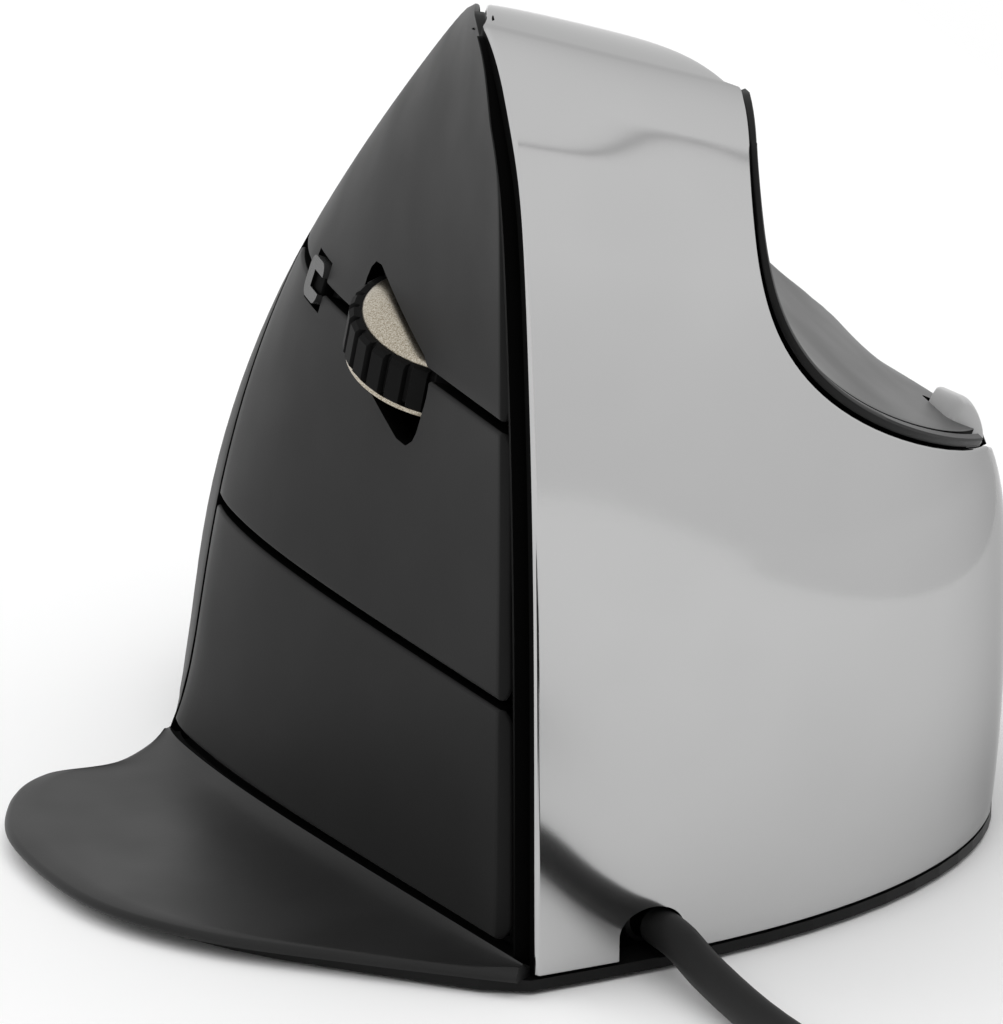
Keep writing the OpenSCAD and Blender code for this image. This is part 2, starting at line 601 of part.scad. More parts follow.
// bottom cover
base_outline = concat(
    [for (u = steps(16)) let (x = mix(front_x(2) + 0.4, silver_x(2), 1 - pow(1 - u, 2)))
        [x, face_y(x, 2) + 0.15]],
    [for (u = steps(16)) let (y = mix(edge_y(2) + 2, rear_end - 0.8, 1 - pow(1 - u, 2)))
        [side_x(y, 2) - 0.15, y]],
    [for (u = steps(12)) let (y = mix(rear_end - 0.8, 14.5, pow(u, 1.5))) [finger_x(y, 2) + 0.15, y]],
    [for (k = [lip_steps - 1:-1:1]) mix(lip_edge[k], lip_wall[k], 0.14)]);
BOARD_POSTS = [[-3, -25], [26, -18], [26, 8], [-3, 18]];
sensor_at = [10, -2];
module base_plate() {
    color(BLACK) difference() {
        union() {
            translate([0, 0, feet_h]) linear_extrude(base_top - feet_h) polygon(base_outline);
            for (p = POSTS) translate([p[0], p[1], feet_h]) cylinder(r = 4, h = 7.6);
            for (p = BOARD_POSTS) translate([p[0], p[1], feet_h]) cylinder(r = 2.6, h = 6.4);
            translate([-4.4, -32.6, feet_h]) cube([4, 3.6, 5.7]);
        }
        for (p = POSTS) translate([p[0], p[1], 0]) {
            cylinder(r = 1.3, h = 20);
            cylinder(r = 2.8, h = 3);
        }
        for (p = BOARD_POSTS) translate([p[0], p[1], 2]) cylinder(r = 0.92, h = 20);
        translate([sensor_at[0], sensor_at[1], 0]) cylinder(r = 3.2, h = 9, center = true);
        at_cable() cylinder(r = 2.6, h = 16, center = true);
    }
}
module case_screws() {
    color(STEEL) for (p = POSTS) translate([p[0], p[1], 1.2]) {
        difference() {
            cylinder(r = 2.6, h = 1.75);
            translate([0, 0, -1]) cylinder(r = 1.2, h = 1.9, $fn = 6);
        }
        translate([0, 0, 1.7]) cylinder(r = 1.2, h = 11);
    }
}
FEET = [[-24, -26, 20, 10, 52], [20, -34, 20, 9, 15], [14, 40, 20, 9, -10]];
module glide_feet() {
    color(PALE) for (f = FEET) translate([f[0], f[1], feet_h / 2]) rotate([0, 0, f[4]])
        rounded_box([f[2], f[3], feet_h], 4);
}

// electronics on the bottom
board_z = 6.8;
module main_board() {
    color(GREEN) difference() {
        translate([-6, -29, board_z]) cube([36, 51, board_thick]);
        for (p = BOARD_POSTS) translate([p[0], p[1], 0]) cylinder(r = 1.1, h = 20);
        translate([POSTS[1][0], POSTS[1][1], 0]) cylinder(r = 4.5, h = 20);
        translate([sensor_at[0], sensor_at[1], 0]) cylinder(r = 1.5, h = 20);
    }
}
module board_screws() {
    color(STEEL) for (p = BOARD_POSTS) translate([p[0], p[1], board_z + board_thick]) {
        translate([0, 0, 0.02]) cylinder(r = 2, h = 1.3);
        translate([0, 0, -5]) cylinder(r = 0.9, h = 5.3);
    }
}
module controller_chip() {
    color(BLACK) translate([21, -2, board_z + board_thick + 0.6]) cube([8, 8, 1.2], center = true);
}
module sensor() {
    color(BLACK) translate([sensor_at[0], sensor_at[1], board_z + board_thick + 1])
        cube([10, 12, 2], center = true);
}
module sensor_lens() {
    color(PALE) translate([sensor_at[0], sensor_at[1], 0]) {
        translate([0, 0, 4.1]) cube([14, 16, 5.2], center = true);
        translate([0, 0, 0.8]) cylinder(r = 3, h = 1);
    }
}
module cable_socket() { color(PALE) at_cable() translate([-4, -2.4, -15.4]) cube([8, 4.4, 5.6]); }

// cable: through the grommet, over the desk, wound up, and on to the plug
module cable_grommet() {
    color(BLACK) at_cable() rotate_extrude() polygon([[cable_d / 2, -7], [2.3, -7], [2.3, -0.2], [2.45, 0.4],
        [2.45, 1.1], [2.2, 1.6], [cable_d / 2, 1.8]]);
}
coil_centre = [-7, -133];
coil_z = cable_d / 2 + 0.8;
tail_z = 4;
LEAD = [[1.99, -40.16, 3.9], [2.87, -43.7, 3.9], [4.3, -49.5, 3.9], [5.3, -53.6, 3.7], [6.3, -59, 2.8],
    [8.4, -68.3, 1.9], [11.4, -80, 1.8], [15.2, -95, 1.8], [18.4, -111, 2.1],
    [19.2, -124, 2.5], [19.3, -133, 2.55]];
lead_path = curve(LEAD, 20);
module cable() { color(BLACK) tube(lead_path, cable_d / 2, 8); }

layer_in = coil_r - coil_pitch * layer_turns;
climb_bow = 0.6;
coil_turns = 4 * layer_turns + 1.5;
function coil_layer(t) = min(floor(t / (layer_turns + 0.5)), 3);
function coil_at(t) =
    let (k = coil_layer(t), here = t - k * (layer_turns + 0.5),
         climb = clamp((here - layer_turns) / 0.5, 0, 1), run = clamp(here / layer_turns, 0, 1),
         inward = k % 2 == 0, start = inward ? coil_r : layer_in,
         end = inward ? layer_in : coil_r, bow = (inward ? -1 : 1) * climb_bow * sin(180 * climb),
         r = mix(start, end, run) + bow, z = coil_z + coil_pitch * (k + (1 - cos(180 * climb)) / 2))
    [coil_centre[0] + r * cos(360 * t), coil_centre[1] - r * sin(360 * t), z];
coil_path = [for (i = [0:floor(coil_turns * 24)]) coil_at(i / 24)];
module cable_coil() { color(BLACK) tube(concat(coil_path, [coil_at(coil_turns)]), cable_d / 2, 6); }

coil_end = coil_at(coil_turns);
TAIL = [coil_end, coil_end + [3.4, 0.6, 0], [9, -104.8, 12.6], [20, -105.6, 9.4], [29, -110.5, 6],
    [33.6, -119, 4.2], [34, -127, 4], [34, -131, tail_z]];
tail_path = curve(TAIL, 16);
module cable_tail() { color(BLACK) tube(tail_path, cable_d / 2, 8); }

module coil_tie() {
    high = coil_z + 3 * coil_pitch + cable_d / 2 + 0.2;
    low_r = layer_in - climb_bow - cable_d / 2 - 0.4;
    high_r = coil_r + climb_bow + cable_d / 2 + 0.4;
    color(GREY) translate([coil_centre[0], coil_centre[1], 0]) rotate([0, 0, 205]) difference() {
        translate([low_r - 0.6, -2, 0.05]) cube([high_r - low_r + 1.2, 4, high + 0.6]);
        translate([low_r, -3, 0.65]) cube([high_r - low_r, 6, high - 0.6]);
    }
}
module at_plug() { translate([34, -131, tail_z]) rotate([90, 0, 0]) children(); }
module plug_body() {
    color(BLACK) at_plug() difference() {
        union() {
            translate([0, 0, 14]) rounded_box([15.6, 7.8, 22], 2.4);
            cylinder(r1 = 2.6, r2 = 3.6, h = 3.2);
        }
        translate([-6, -2.25, 20]) cube([12, 4.5, 6]);
    }
}
module plug_shell() {
    color(STEEL) at_plug() translate([-6, -2.25, 20]) difference() {
        cube([12, 4.5, 18.8]);
        translate([0.35, 0.35, 0.5]) cube([11.3, 3.8, 20]);
        for (x = [2.5, 7]) translate([x, -1, 10]) cube([2.5, 7, 2.2]);
    }
}
module plug_tongue() { color(BLACK) at_plug() translate([-5.6, -1.8, 20.6]) cube([11.2, 1.8, 17.6]); }

// length of the whole cable and the coil's smallest gap to itself
echo(lead = path_length(lead_path), coil = path_length(coil_path), tail = path_length(tail_path));
echo(coil_gap = min([for (i = [0:3:len(coil_path) - 1]) for (j = [i + 12:1:min(i + 90, len(coil_path) - 1)])
    norm(coil_path[i] - coil_path[j])]) - cable_d);

base_plate();
side_lip();
front_panel();
rear_shell();
thumb_panel();
thumb_edge_trim();
button_frame();
index_button();
middle_button();
ring_button();
pivot_pin(INDEX_PIVOT);  // index_pivot_pin
pivot_pin(MIDDLE_PIVOT);  // middle_pivot_pin
pivot_pin(RING_PIVOT);  // ring_pivot_pin
finger_switch(0);  // index_switch
finger_switch(1);  // middle_switch
finger_switch(2);  // ring_switch
finger_plunger(0);  // index_plunger
finger_plunger(1);  // middle_plunger
finger_plunger(2);  // ring_plunger
button_board();
wheel_hub();
wheel_tyre();
wheel_axle();
wheel_cradle();
cradle_pin();
wheel_bracket();
wheel_encoder();
wheel_switch();
speed_rocker();
rocker_pin();
rocker_board();
rocker_switches();
thumb_upper_button();
thumb_upper_plunger();
thumb_upper_switch();
thumb_upper_board();
thumb_lower_button();
thumb_lower_plunger();
thumb_lower_switch();
thumb_lower_board();
main_board();
controller_chip();
sensor();
sensor_lens();
cable_socket();
cable_grommet();
case_screws();
board_screws();
glide_feet();
cable();
cable_coil();
cable_tail();
coil_tie();
plug_body();
plug_shell();
plug_tongue();
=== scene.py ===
"""Vertical ergonomic mouse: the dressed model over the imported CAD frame.

Lengths are written in millimetres, as in the part's source, and turned into metres where
objects are made.
"""
import json
import math

import bpy
import numpy as np
from mathutils import Matrix, Vector


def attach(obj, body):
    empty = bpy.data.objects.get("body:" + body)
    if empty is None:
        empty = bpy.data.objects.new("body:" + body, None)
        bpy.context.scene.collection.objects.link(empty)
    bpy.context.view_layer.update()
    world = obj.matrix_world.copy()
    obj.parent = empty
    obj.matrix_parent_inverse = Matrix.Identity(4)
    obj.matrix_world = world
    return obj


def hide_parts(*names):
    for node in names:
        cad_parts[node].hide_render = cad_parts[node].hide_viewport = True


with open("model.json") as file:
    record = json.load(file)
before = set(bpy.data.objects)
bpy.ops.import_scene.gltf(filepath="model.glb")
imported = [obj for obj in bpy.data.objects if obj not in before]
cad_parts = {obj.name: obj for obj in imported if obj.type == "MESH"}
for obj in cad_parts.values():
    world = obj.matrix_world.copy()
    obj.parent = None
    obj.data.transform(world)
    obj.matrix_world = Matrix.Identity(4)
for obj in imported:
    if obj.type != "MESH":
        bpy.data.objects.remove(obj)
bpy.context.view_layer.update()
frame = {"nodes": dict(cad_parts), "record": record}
nodes = frame["nodes"]
MM = 0.001

# camera, placed as the photograph was taken
AZIMUTH = -14
ELEVATION = 18
DISTANCE = 600
TARGET = Vector((-2.3, -20.0, 32.8))
LENS = 236.25
SENSOR = 36


def make_camera():
    a = math.radians(AZIMUTH)
    e = math.radians(ELEVATION)
    back = Vector((math.sin(a) * math.cos(e), -math.cos(a) * math.cos(e), math.sin(e)))
    data = bpy.data.cameras.new("camera")
    data.lens = LENS
    data.sensor_width = SENSOR
    data.clip_start = 0.01
    data.clip_end = 20
    camera = bpy.data.objects.new("camera", data)
    camera.location = (TARGET + back * DISTANCE) * MM
    camera.rotation_mode = "QUATERNION"
    camera.rotation_quaternion = (-back).to_track_quat("-Z", "Y")
    bpy.context.scene.collection.objects.link(camera)
    bpy.context.scene.camera = camera


make_camera()

# material helpers
NOISE_RANGE = (0.3, 0.7)
BROADER = 60
GLOSS_SPREAD = 0.12
GRAIN_DEPTH = 0.02 * MM


def grey(level):
    return (level, level, level)


def shader_of(material):
    return material.node_tree.nodes["Principled BSDF"]


def new_material(name, colour, roughness, metallic=0.0):
    material = bpy.data.materials.new(name)
    material.use_nodes = True
    shader = shader_of(material)
    shader.inputs["Base Color"].default_value = (*colour, 1)
    shader.inputs["Roughness"].default_value = roughness
    shader.inputs["Metallic"].default_value = metallic
    return material


def noise(material, scale, detail):
    """Noise over the object's own place, with the scale in waves per metre."""
    tree = material.node_tree
    place = tree.nodes.new("ShaderNodeTexCoord")
    texture = tree.nodes.new("ShaderNodeTexNoise")
    texture.inputs["Scale"].default_value = scale
    texture.inputs["Detail"].default_value = detail
    tree.links.new(place.outputs["Object"], texture.inputs["Vector"])
    return texture.outputs["Fac"]


def map_range(tree, source, given, wanted):
    """A node that turns the given range of a value into the wanted one."""
    node = tree.nodes.new("ShaderNodeMapRange")
    for socket, value in zip(("From Min", "From Max", "To Min", "To Max"), (*given, *wanted)):
        node.inputs[socket].default_value = value
    tree.links.new(source, node.inputs["Value"])
    return node


def vary(material, socket, source, low, high):
    """Lets a noise move a socket between two values."""
    tree = material.node_tree
    spread = map_range(tree, source, NOISE_RANGE, (low, high))
    tree.links.new(spread.outputs["Result"], shader_of(material).inputs[socket])


def tint(material, source, dark, light):
    """Lets a noise move the base colour between two colours."""
    tree = material.node_tree
    ramp = tree.nodes.new("ShaderNodeValToRGB")
    for stop, position, colour in zip(ramp.color_ramp.elements, NOISE_RANGE, (dark, light)):
        stop.position = position
        stop.color = (*colour, 1)
    tree.links.new(source, ramp.inputs["Fac"])
    tree.links.new(ramp.outputs["Color"], shader_of(material).inputs["Base Color"])


def grain(material, source, strength):
    """Turns a noise into fine bumps."""
    tree = material.node_tree
    bump = tree.nodes.new("ShaderNodeBump")
    bump.inputs["Strength"].default_value = strength
    bump.inputs["Distance"].default_value = GRAIN_DEPTH
    tree.links.new(source, bump.inputs["Height"])
    tree.links.new(bump.outputs["Normal"], shader_of(material).inputs["Normal"])


def plain_material(name, dark, light, roughness, metallic=0.0, scale=2500, strength=0.15, specular=0.5):
    """A moulded or turned finish: fine grain, a slight change of colour and an uneven gloss."""
    material = new_material(name, light, roughness, metallic)
    shader_of(material).inputs["Specular IOR Level"].default_value = specular
    fine = noise(material, scale, detail=4)
    broad = noise(material, scale / BROADER, detail=2)
    tint(material, broad, dark, light)
    vary(material, "Roughness", broad, roughness * (1 - GLOSS_SPREAD), roughness * (1 + GLOSS_SPREAD))
    grain(material, fine, strength)
    return material


def grey_material(name, dark, light, roughness, **finish):
    return plain_material(name, grey(dark), grey(light), roughness, **finish)


def flake_material(name, dark, light):
    """Metal paint with fine bright flakes."""
    material = new_material(name, light, roughness=0.3, metallic=1.0)
    flakes = noise(material, scale=9000, detail=2)
    tint(material, flakes, dark, light)
    grain(material, flakes, strength=0.6)
    return material


# finishes
SOFT_GRAIN = 5200
SOFT_DARK = grey_material("soft_dark", 0.012, 0.014, 0.42, scale=SOFT_GRAIN, strength=0.3, specular=0.03)
shader_of(SOFT_DARK).inputs["Sheen Weight"].default_value = 0.06
shader_of(SOFT_DARK).inputs["Sheen Roughness"].default_value = 0.4
# the wing's copy of soft_dark has more gloss, as painted light: it makes the lip read lighter, as under
# light from above
WING_LIT_COPY = grey_material("wing_lit_copy", 0.012, 0.014, 0.4, scale=SOFT_GRAIN, strength=0.3, specular=0.2)
THUMB_GREY = grey_material("thumb_grey", 0.058, 0.068, 0.36, scale=SOFT_GRAIN, strength=0.25, specular=0.1)
# a much lighter copy of thumb_grey for the lower thumb button: painted light for its top-lit face
LOWER_KEY_LIT_GREY = grey_material("lower_key_lit_grey", 0.52, 0.56, 0.36, scale=SOFT_GRAIN, strength=0.25)
ROCKER_GREY = grey_material("rocker_grey", 0.025, 0.03, 0.25, specular=0.2)
# Near-black for the rocker's channel, and painted shade for the walls of gaps, grooves, slots and openings
# and for pieces set in dark hollows.
BLACK_AND_PAINTED_SHADE = grey_material("black_and_painted_shade", 0.001, 0.0015, 0.6, specular=0.02)
BLACK_SATIN = grey_material("black_satin", 0.005, 0.007, 0.4, specular=0.15)
SILVER = grey_material("silver", 0.49, 0.51, 0.09, metallic=1.0, scale=3500, strength=0.02)
shader_of(SILVER).inputs["Specular Tint"].default_value = (*grey(0.6), 1)
GOLD = flake_material("gold", (0.22, 0.18, 0.12), (0.62, 0.58, 0.50))
RUBBER = grey_material("tyre_rubber", 0.005, 0.007, 0.5, strength=0.3, specular=0.05)
STEEL = grey_material("steel", 0.52, 0.56, 0.24, metallic=1.0)
BOARD_GREEN = plain_material("board_green", (0.012, 0.075, 0.03), (0.016, 0.09, 0.036), 0.45)
PALE = plain_material("pale_plastic", (0.62, 0.62, 0.58), (0.66, 0.66, 0.62), 0.5)
CABLE_BLACK = grey_material("cable_black", 0.008, 0.01, 0.55, scale=3000, strength=0.3, specular=0.25)
TIE_GREY = grey_material("tie_grey", 0.06, 0.08, 0.6)


def finish_piece(piece, body, slot, material, *stands_for):
    """Sets a piece's body and replaced nodes, and its material where its making hasn't. The slot is not
    used.
    """
    if not piece.data.materials:
        piece.data.materials.append(material)
    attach(piece, body)
    if stands_for:
        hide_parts(*stands_for)


# small helpers for shapes
def mix(a, b, t):
    return a + (b - a) * t


def clamp(v, low, high):
    return min(max(v, low), high)


def soft_min(a, b, k):
    return (a + b - math.sqrt((a - b) ** 2 + k * k)) / 2


def steps(n):
    return [i / n for i in range(n + 1)]


def unit(v):
    return v / max(np.linalg.norm(v), 1e-9)


def circle(n):
    """The angles of n equal parts of a full turn."""
    return [2 * math.pi * k / n for k in range(n)]


def polar(r, a, z):
    return (r * math.cos(a), r * math.sin(a), z)


def curve_at(points, t):
    """A smooth curve through given points, at t from 0 to 1."""
    n = len(points) - 1
    i = min(int(t * n), n - 1)
    s = t * n - i
    a = np.array(points[max(i - 1, 0)])
    b = np.array(points[i])
    c = np.array(points[i + 1])
    d = np.array(points[min(i + 2, n)])
    return (b + s * (c - a) / 2 + s * s * (a - 2.5 * b + 2 * c - 0.5 * d)
            + s ** 3 * (1.5 * (b - c) + (d - a) / 2))


# the cable: from its sleeve over the desk, wound up, and on to the plug
CABLE_D = 3.5
CABLE_EXIT = (4.3, -49.5, 3.9)
CABLE_TURN = (0, 0, 13.9)
LEAD = [CABLE_EXIT, (5.3, -53.6, 3.7), (6.3, -59, 2.8), (8.4, -68.3, 1.9), (11.4, -80, 1.8),
        (15.2, -95, 1.8), (18.4, -111, 2.1), (19.2, -124, 2.5), (19.3, -133, 2.55)]
LEAD_STEPS = 30
COIL_R = 26.4
COIL_PITCH = 4
COIL_CENTRE = (-7, -133)
COIL_Z = CABLE_D / 2 + 0.8
LAYERS = 4
LAYER_TURNS = 2.805
CLIMB_TURNS = 0.5
CLIMB_BOW = 0.6
LAYER_IN = COIL_R - COIL_PITCH * LAYER_TURNS
COIL_TURNS = LAYERS * LAYER_TURNS + (LAYERS - 1) * CLIMB_TURNS
STEPS_PER_TURN = 24
TAIL = [(9, -104.8, 12.6), (20, -105.6, 9.4), (29, -110.5, 6), (33.6, -119, 4.2), (34, -127, 4),
        (34, -131, 4)]
TAIL_STEPS = 24


def coil_at(t):
    """A point of the coil after t turns. Layers run inward and outward in turn, with climbs between."""
    layer = min(int(t / (LAYER_TURNS + CLIMB_TURNS)), LAYERS - 1)
    here = t - layer * (LAYER_TURNS + CLIMB_TURNS)
    run = clamp(here / LAYER_TURNS, 0, 1)
    climb = clamp((here - LAYER_TURNS) / CLIMB_TURNS, 0, 1)
    inward = layer % 2 == 0
    start, end = (COIL_R, LAYER_IN) if inward else (LAYER_IN, COIL_R)
    bow = CLIMB_BOW * math.sin(math.pi * climb)
    r = mix(start, end, run) + (-bow if inward else bow)
    z = COIL_Z + COIL_PITCH * (layer + (1 - math.cos(math.pi * climb)) / 2)
    turn = 2 * math.pi * t
    return np.array([COIL_CENTRE[0] + r * math.cos(turn), COIL_CENTRE[1] - r * math.sin(turn), z])


def cable_path():
    end = coil_at(COIL_TURNS)
    tail = [end, end + [3.4, 0.6, 0]] + TAIL
    count = int(COIL_TURNS * STEPS_PER_TURN)
    path = [curve_at(LEAD, t) for t in steps(LEAD_STEPS)]
    path += [coil_at(COIL_TURNS * i / count) for i in range(1, count)]
    path += [curve_at(tail, t) for t in steps(TAIL_STEPS)]
    return path


def make_cable():
    path = cable_path()
    data = bpy.data.curves.new("cable_run", "CURVE")
    data.dimensions = "3D"
    data.bevel_depth = CABLE_D / 2 * MM
    data.bevel_resolution = 5
    data.use_fill_caps = True
    line = data.splines.new("POLY")
    line.points.add(len(path) - 1)
    for point, place in zip(line.points, path):
        point.co = (*(place * MM), 1)
    line.use_smooth = True
    cable = bpy.data.objects.new("cable_run", data)
    bpy.context.scene.collection.objects.link(cable)
    finish_piece(cable, "case", "cable_black", CABLE_BLACK, "cable", "cable_coil", "cable_tail")


make_cable()

# the body's surfaces: the formulas of the part's source, refined at the roof, the shelf and the thumb edge
BODY_H = 82
FRONT_END = -54
REAR_END = 54
CORNER_X = -8.5
BELLY_Z = 28
FINGER_SWELL = 29.3
PANEL_WIDE = 54.5
RIGHT_SHARE = 0.985
SHELF_Z = 37.6
NECK_X = 13.3
TRIM = 0.6
ROOF_BEND = 1.05
ROOF_FALL = 7.3
ROOF_WIDE = 21.5
ROOF_RIGHT = 74.1
SPINE_FULL = 1.75
SPINE_RISE = 1.7
SPINE_SLANT = 0.25
TOP_ROUND = 4
TOP_SLANT = 0.4
SLANT_HEIGHT = 10
SLANT_SOFT = 4
WALL_FOOT = 1.6
SHELL_FRONT = -12
SHELL_SPLIT = 14.4
BUTTON_REAR = 13.7
BODY_MIDDLE = np.array([0, -5, 28])
HALVINGS = 24


def lean(z):
    """How far the front leans back above the belly, and a little below it."""
    return (1.4 if z > BELLY_Z else 0.4) * ((z - BELLY_Z) / BELLY_Z) ** 2


def bend_back(z):
    """How far the front slants back near the top and rounds over at it."""
    up = z - BODY_H + SLANT_HEIGHT
    slant = TOP_SLANT * (math.hypot(up, SLANT_SOFT) + up)
    below = clamp(BODY_H - z, 0, TOP_ROUND)
    return slant + TOP_ROUND - math.sqrt(max(TOP_ROUND ** 2 - (TOP_ROUND - below) ** 2, 0))


def front_x(z):
    return CORNER_X - 0.15 * (z - BELLY_Z) / BELLY_Z


def front_y(z):
    return FRONT_END + lean(z) + bend_back(z)


PEAK_X = front_x(BODY_H)
PEAK_Y = front_y(BODY_H)
SPINE = REAR_END - PEAK_Y


def rear_y(z):
    rise = clamp(z / BODY_H, 0, 1) ** SPINE_RISE
    return PEAK_Y + SPINE * max(1 - rise, 0) ** (1 / SPINE_FULL)


def rear_x(z):
    return ridge_x(rear_y(z))


def ridge_z(y):
    return BODY_H * (1 - clamp((y - PEAK_Y) / SPINE, 0, 1) ** SPINE_FULL) ** (1 / SPINE_RISE)


def ridge_x(y):
    return PEAK_X + SPINE_SLANT * (y - PEAK_Y)


def swell(z):
    """How far the finger side bulges, with a flare at its foot."""
    return FINGER_SWELL * max(1 - (z / BODY_H) ** 1.85, 0) ** 1.2 + 4.5 * math.exp(-z / 5)


def past_button(y, start, reach):
    return 1 - math.exp(-(max(y - start, 0) / reach) ** 2)


def tuck(y, z):
    """How far the finger side draws in behind the buttons."""
    return (3 * max(1 - z / 48, 0) * past_button(y, 9, 12) + 9 * math.exp(-z / 6) * past_button(y, 18, 9)
            + 5 * math.exp(-z / 2.5) * past_button(y, 12, 5))


def share_along(y, start, end):
    """How far y is on the way from start to end, as a share."""
    return clamp((y - start) / max(end - start, 0.01), 0, 1)


def finger(y, z):
    """A point of the finger side."""
    t = share_along(y, front_y(z), rear_y(z))
    out = (swell(z) * 1.75 * t - tuck(y, z)) * math.sqrt(max(1 - t ** 4, 0))
    return np.array([mix(front_x(z), rear_x(z), t) - out, y, z])


def wide(z):
    """Width of the silver face. It narrows toward the foot and toward the shelf."""
    return PANEL_WIDE - 1.2 * ((z - 20) / 20) ** 2 - 0.9 * clamp((z - 27) / 9, 0, 1) ** 2


def right_x(z):
    return front_x(z) + RIGHT_SHARE * wide(z)


def top_fall(x):
    """How far the roof's front edge lies below the peak."""
    return ROOF_FALL * (max(x - CORNER_X, 0) / ROOF_WIDE) ** ROOF_BEND


def face_y(x, z):
    """Depth of the silver face, which turns back round the right side."""
    d = x - front_x(z)
    s = clamp(d / wide(z), 0, 1)
    return (FRONT_END + lean(z) + 0.16 * d + 0.05 * d * math.exp(-max(d, 0) / 12)
            + 31 * (1 - math.sqrt(max(1 - s ** 2.4, 0))) + bend_back(min(z + top_fall(x), BODY_H)))


def neck(z, past=0):
    """Right side of the neck. The hollow's bend softens with the distance past the silver's edge."""
    d = z - SHELF_Z + 0.04 * past
    bend = max(0.09 - 0.002 * past, 0.02)
    hollow = 28 * math.exp(-(bend * d + 0.0022 * d * max(d, 0)))
    return NECK_X + hollow + 0.0036 * max(z - 54, 0) ** 2 + 0.01 * max(z - 61, 0) ** 2


def silver_x(z):
    return soft_min(right_x(z), neck(z), 2)


def roof_x(z):
    return CORNER_X + ROOF_WIDE * (max(BODY_H - z, 0) / ROOF_FALL) ** (1 / ROOF_BEND)


def edge_x(z, past=0):
    """Front edge of the thumb side, one trim width outside the silver's edge."""
    outer = soft_min(right_x(z), neck(z - TRIM, past) + TRIM, 2)
    return soft_min(outer, roof_x(z), 1.6)


def edge_y(z):
    x = edge_x(z)
    return face_y(x, min(z, BODY_H - top_fall(x)))


def side(y, z):
    """A point of the thumb side."""
    start = edge_y(z)
    t = share_along(y, start, rear_y(z))
    past = max(y - start, 0)
    flow = 0.27 / (1 + math.exp(z - 34))
    x = mix(rear_x(z), edge_x(z, past), math.sqrt(max(1 - t ** 2.5, 0)))
    return np.array([x + flow * past * math.exp(-past / 6), y, z])


def roof(x, y):
    """The point of the thumb side's roof above x and y."""
    low = 0
    high = BODY_H
    for _ in range(HALVINGS):
        middle = (low + high) / 2
        if side(y, middle)[0] > x:
            low = middle
        else:
            high = middle
    return np.array([x, y, middle])


def roof_edge(y):
    """Height of the seam between the roof and the thumb hollow."""
    below_ridge = max(ridge_z(y) - 3.2, ridge_z(y) * 0.85)
    return min(ROOF_RIGHT - TRIM + max(y - SHELL_FRONT, 0), below_ridge)


def rim_edge(y):
    """Height of the seam below the thumb hollow."""
    return min(34.8 - 0.08 * max(y + 20, 0), ridge_z(y) * 0.6)


# mesh helpers
ROLL_STEPS = 4
ROUND_SIDES = 96


def new_piece(name, points, faces, sharp=40):
    """A mesh whose faces all look outward."""
    place = np.array(points, float)
    fans = np.array([(f[0], a, b) for f in faces for a, b in zip(f[1:], f[2:])])
    if np.sum(place[fans[:, 0]] * np.cross(place[fans[:, 1]], place[fans[:, 2]])) < 0:
        faces = [f[::-1] for f in faces]
    mesh = bpy.data.meshes.new(name)
    mesh.from_pydata([tuple(p) for p in place * MM], [], faces)
    mesh.validate()
    mesh.shade_smooth()
    mesh.set_sharp_from_angle(angle=math.radians(sharp))
    piece = bpy.data.objects.new(name, mesh)
    bpy.context.scene.collection.objects.link(piece)
    return piece


def border_loops(faces):
    """The open borders of a patch of faces, each as a list of corners with the patch on the left."""
    edges = {(f[k], f[(k + 1) % len(f)]) for f in faces for k in range(len(f))}
    follow = {a: b for a, b in edges if (b, a) not in edges}
    loops = []
    while follow:
        start = next(iter(follow))
        loop = [start]
        while follow[loop[-1]] != start:
            loop.append(follow.pop(loop[-1]))
        follow.pop(loop[-1])
        loops.append(loop)
    return loops


def lengths_one(vectors):
    """The vectors along the last axis, each with the length 1."""
    return vectors / np.maximum(np.linalg.norm(vectors, axis=-1, keepdims=True), 1e-9)


def shell(name, rows, wall, edge, material, keep=lambda i, j: True):
    """A closed wall under a grid of surface points. The sides and the inside are black, as painted shade
    for the gaps and grooves where they show.

    Its borders roll over with the radius edge, outside the grid.
    """
    grid = np.array(rows)
    normal = lengths_one(np.cross(np.gradient(grid, axis=0), np.gradient(grid, axis=1)))
    outward = np.sum(normal * (grid - BODY_MIDDLE)) > 0
    if not outward:
        normal = -normal
    height, width = grid.shape[:2]
    top = []
    for i in range(height - 1):
        for j in range(width - 1):
            if keep(i, j):
                a = i * width + j
                quad = [a, a + width, a + width + 1, a + 1]
                top.append(quad if outward else quad[::-1])
    place = grid.reshape(-1, 3)
    normal = normal.reshape(-1, 3)
    points = list(place) + list(place - wall * normal)
    shown = list(top)
    hidden = [[len(place) + k for k in reversed(f)] for f in top]
    bends = [math.pi / 2 * k / ROLL_STEPS for k in range(1, ROLL_STEPS + 1)]
    roll = [(edge * (1 - math.cos(a)), edge * math.sin(a)) for a in bends]
    for loop in border_loops(top):
        count = len(loop)
        at = place[loop]
        up = normal[loop]
        out = lengths_one(np.cross(np.roll(at, -1, axis=0) - np.roll(at, 1, axis=0), up))
        rings = [list(loop)]
        for depth, reach in roll + [(wall, edge)]:
            rings.append([len(points) + k for k in range(count)])
            points += list(at + out * reach - up * depth)
        rings.append([len(place) + k for k in loop])
        for turn, (ring, following) in enumerate(zip(rings, rings[1:])):
            group = shown if turn < ROLL_STEPS else hidden
            for k in range(count):
                n = (k + 1) % count
                group.append([ring[n], ring[k], following[k], following[n]])
    piece = new_piece(name, points, shown + hidden)
    # the sides and the inside get the near-black: painted shade in the gaps and grooves
    for finish in (material, BLACK_AND_PAINTED_SHADE):
        piece.data.materials.append(finish)
    for face in piece.data.polygons[len(shown):]:
        face.material_index = 1
    return piece


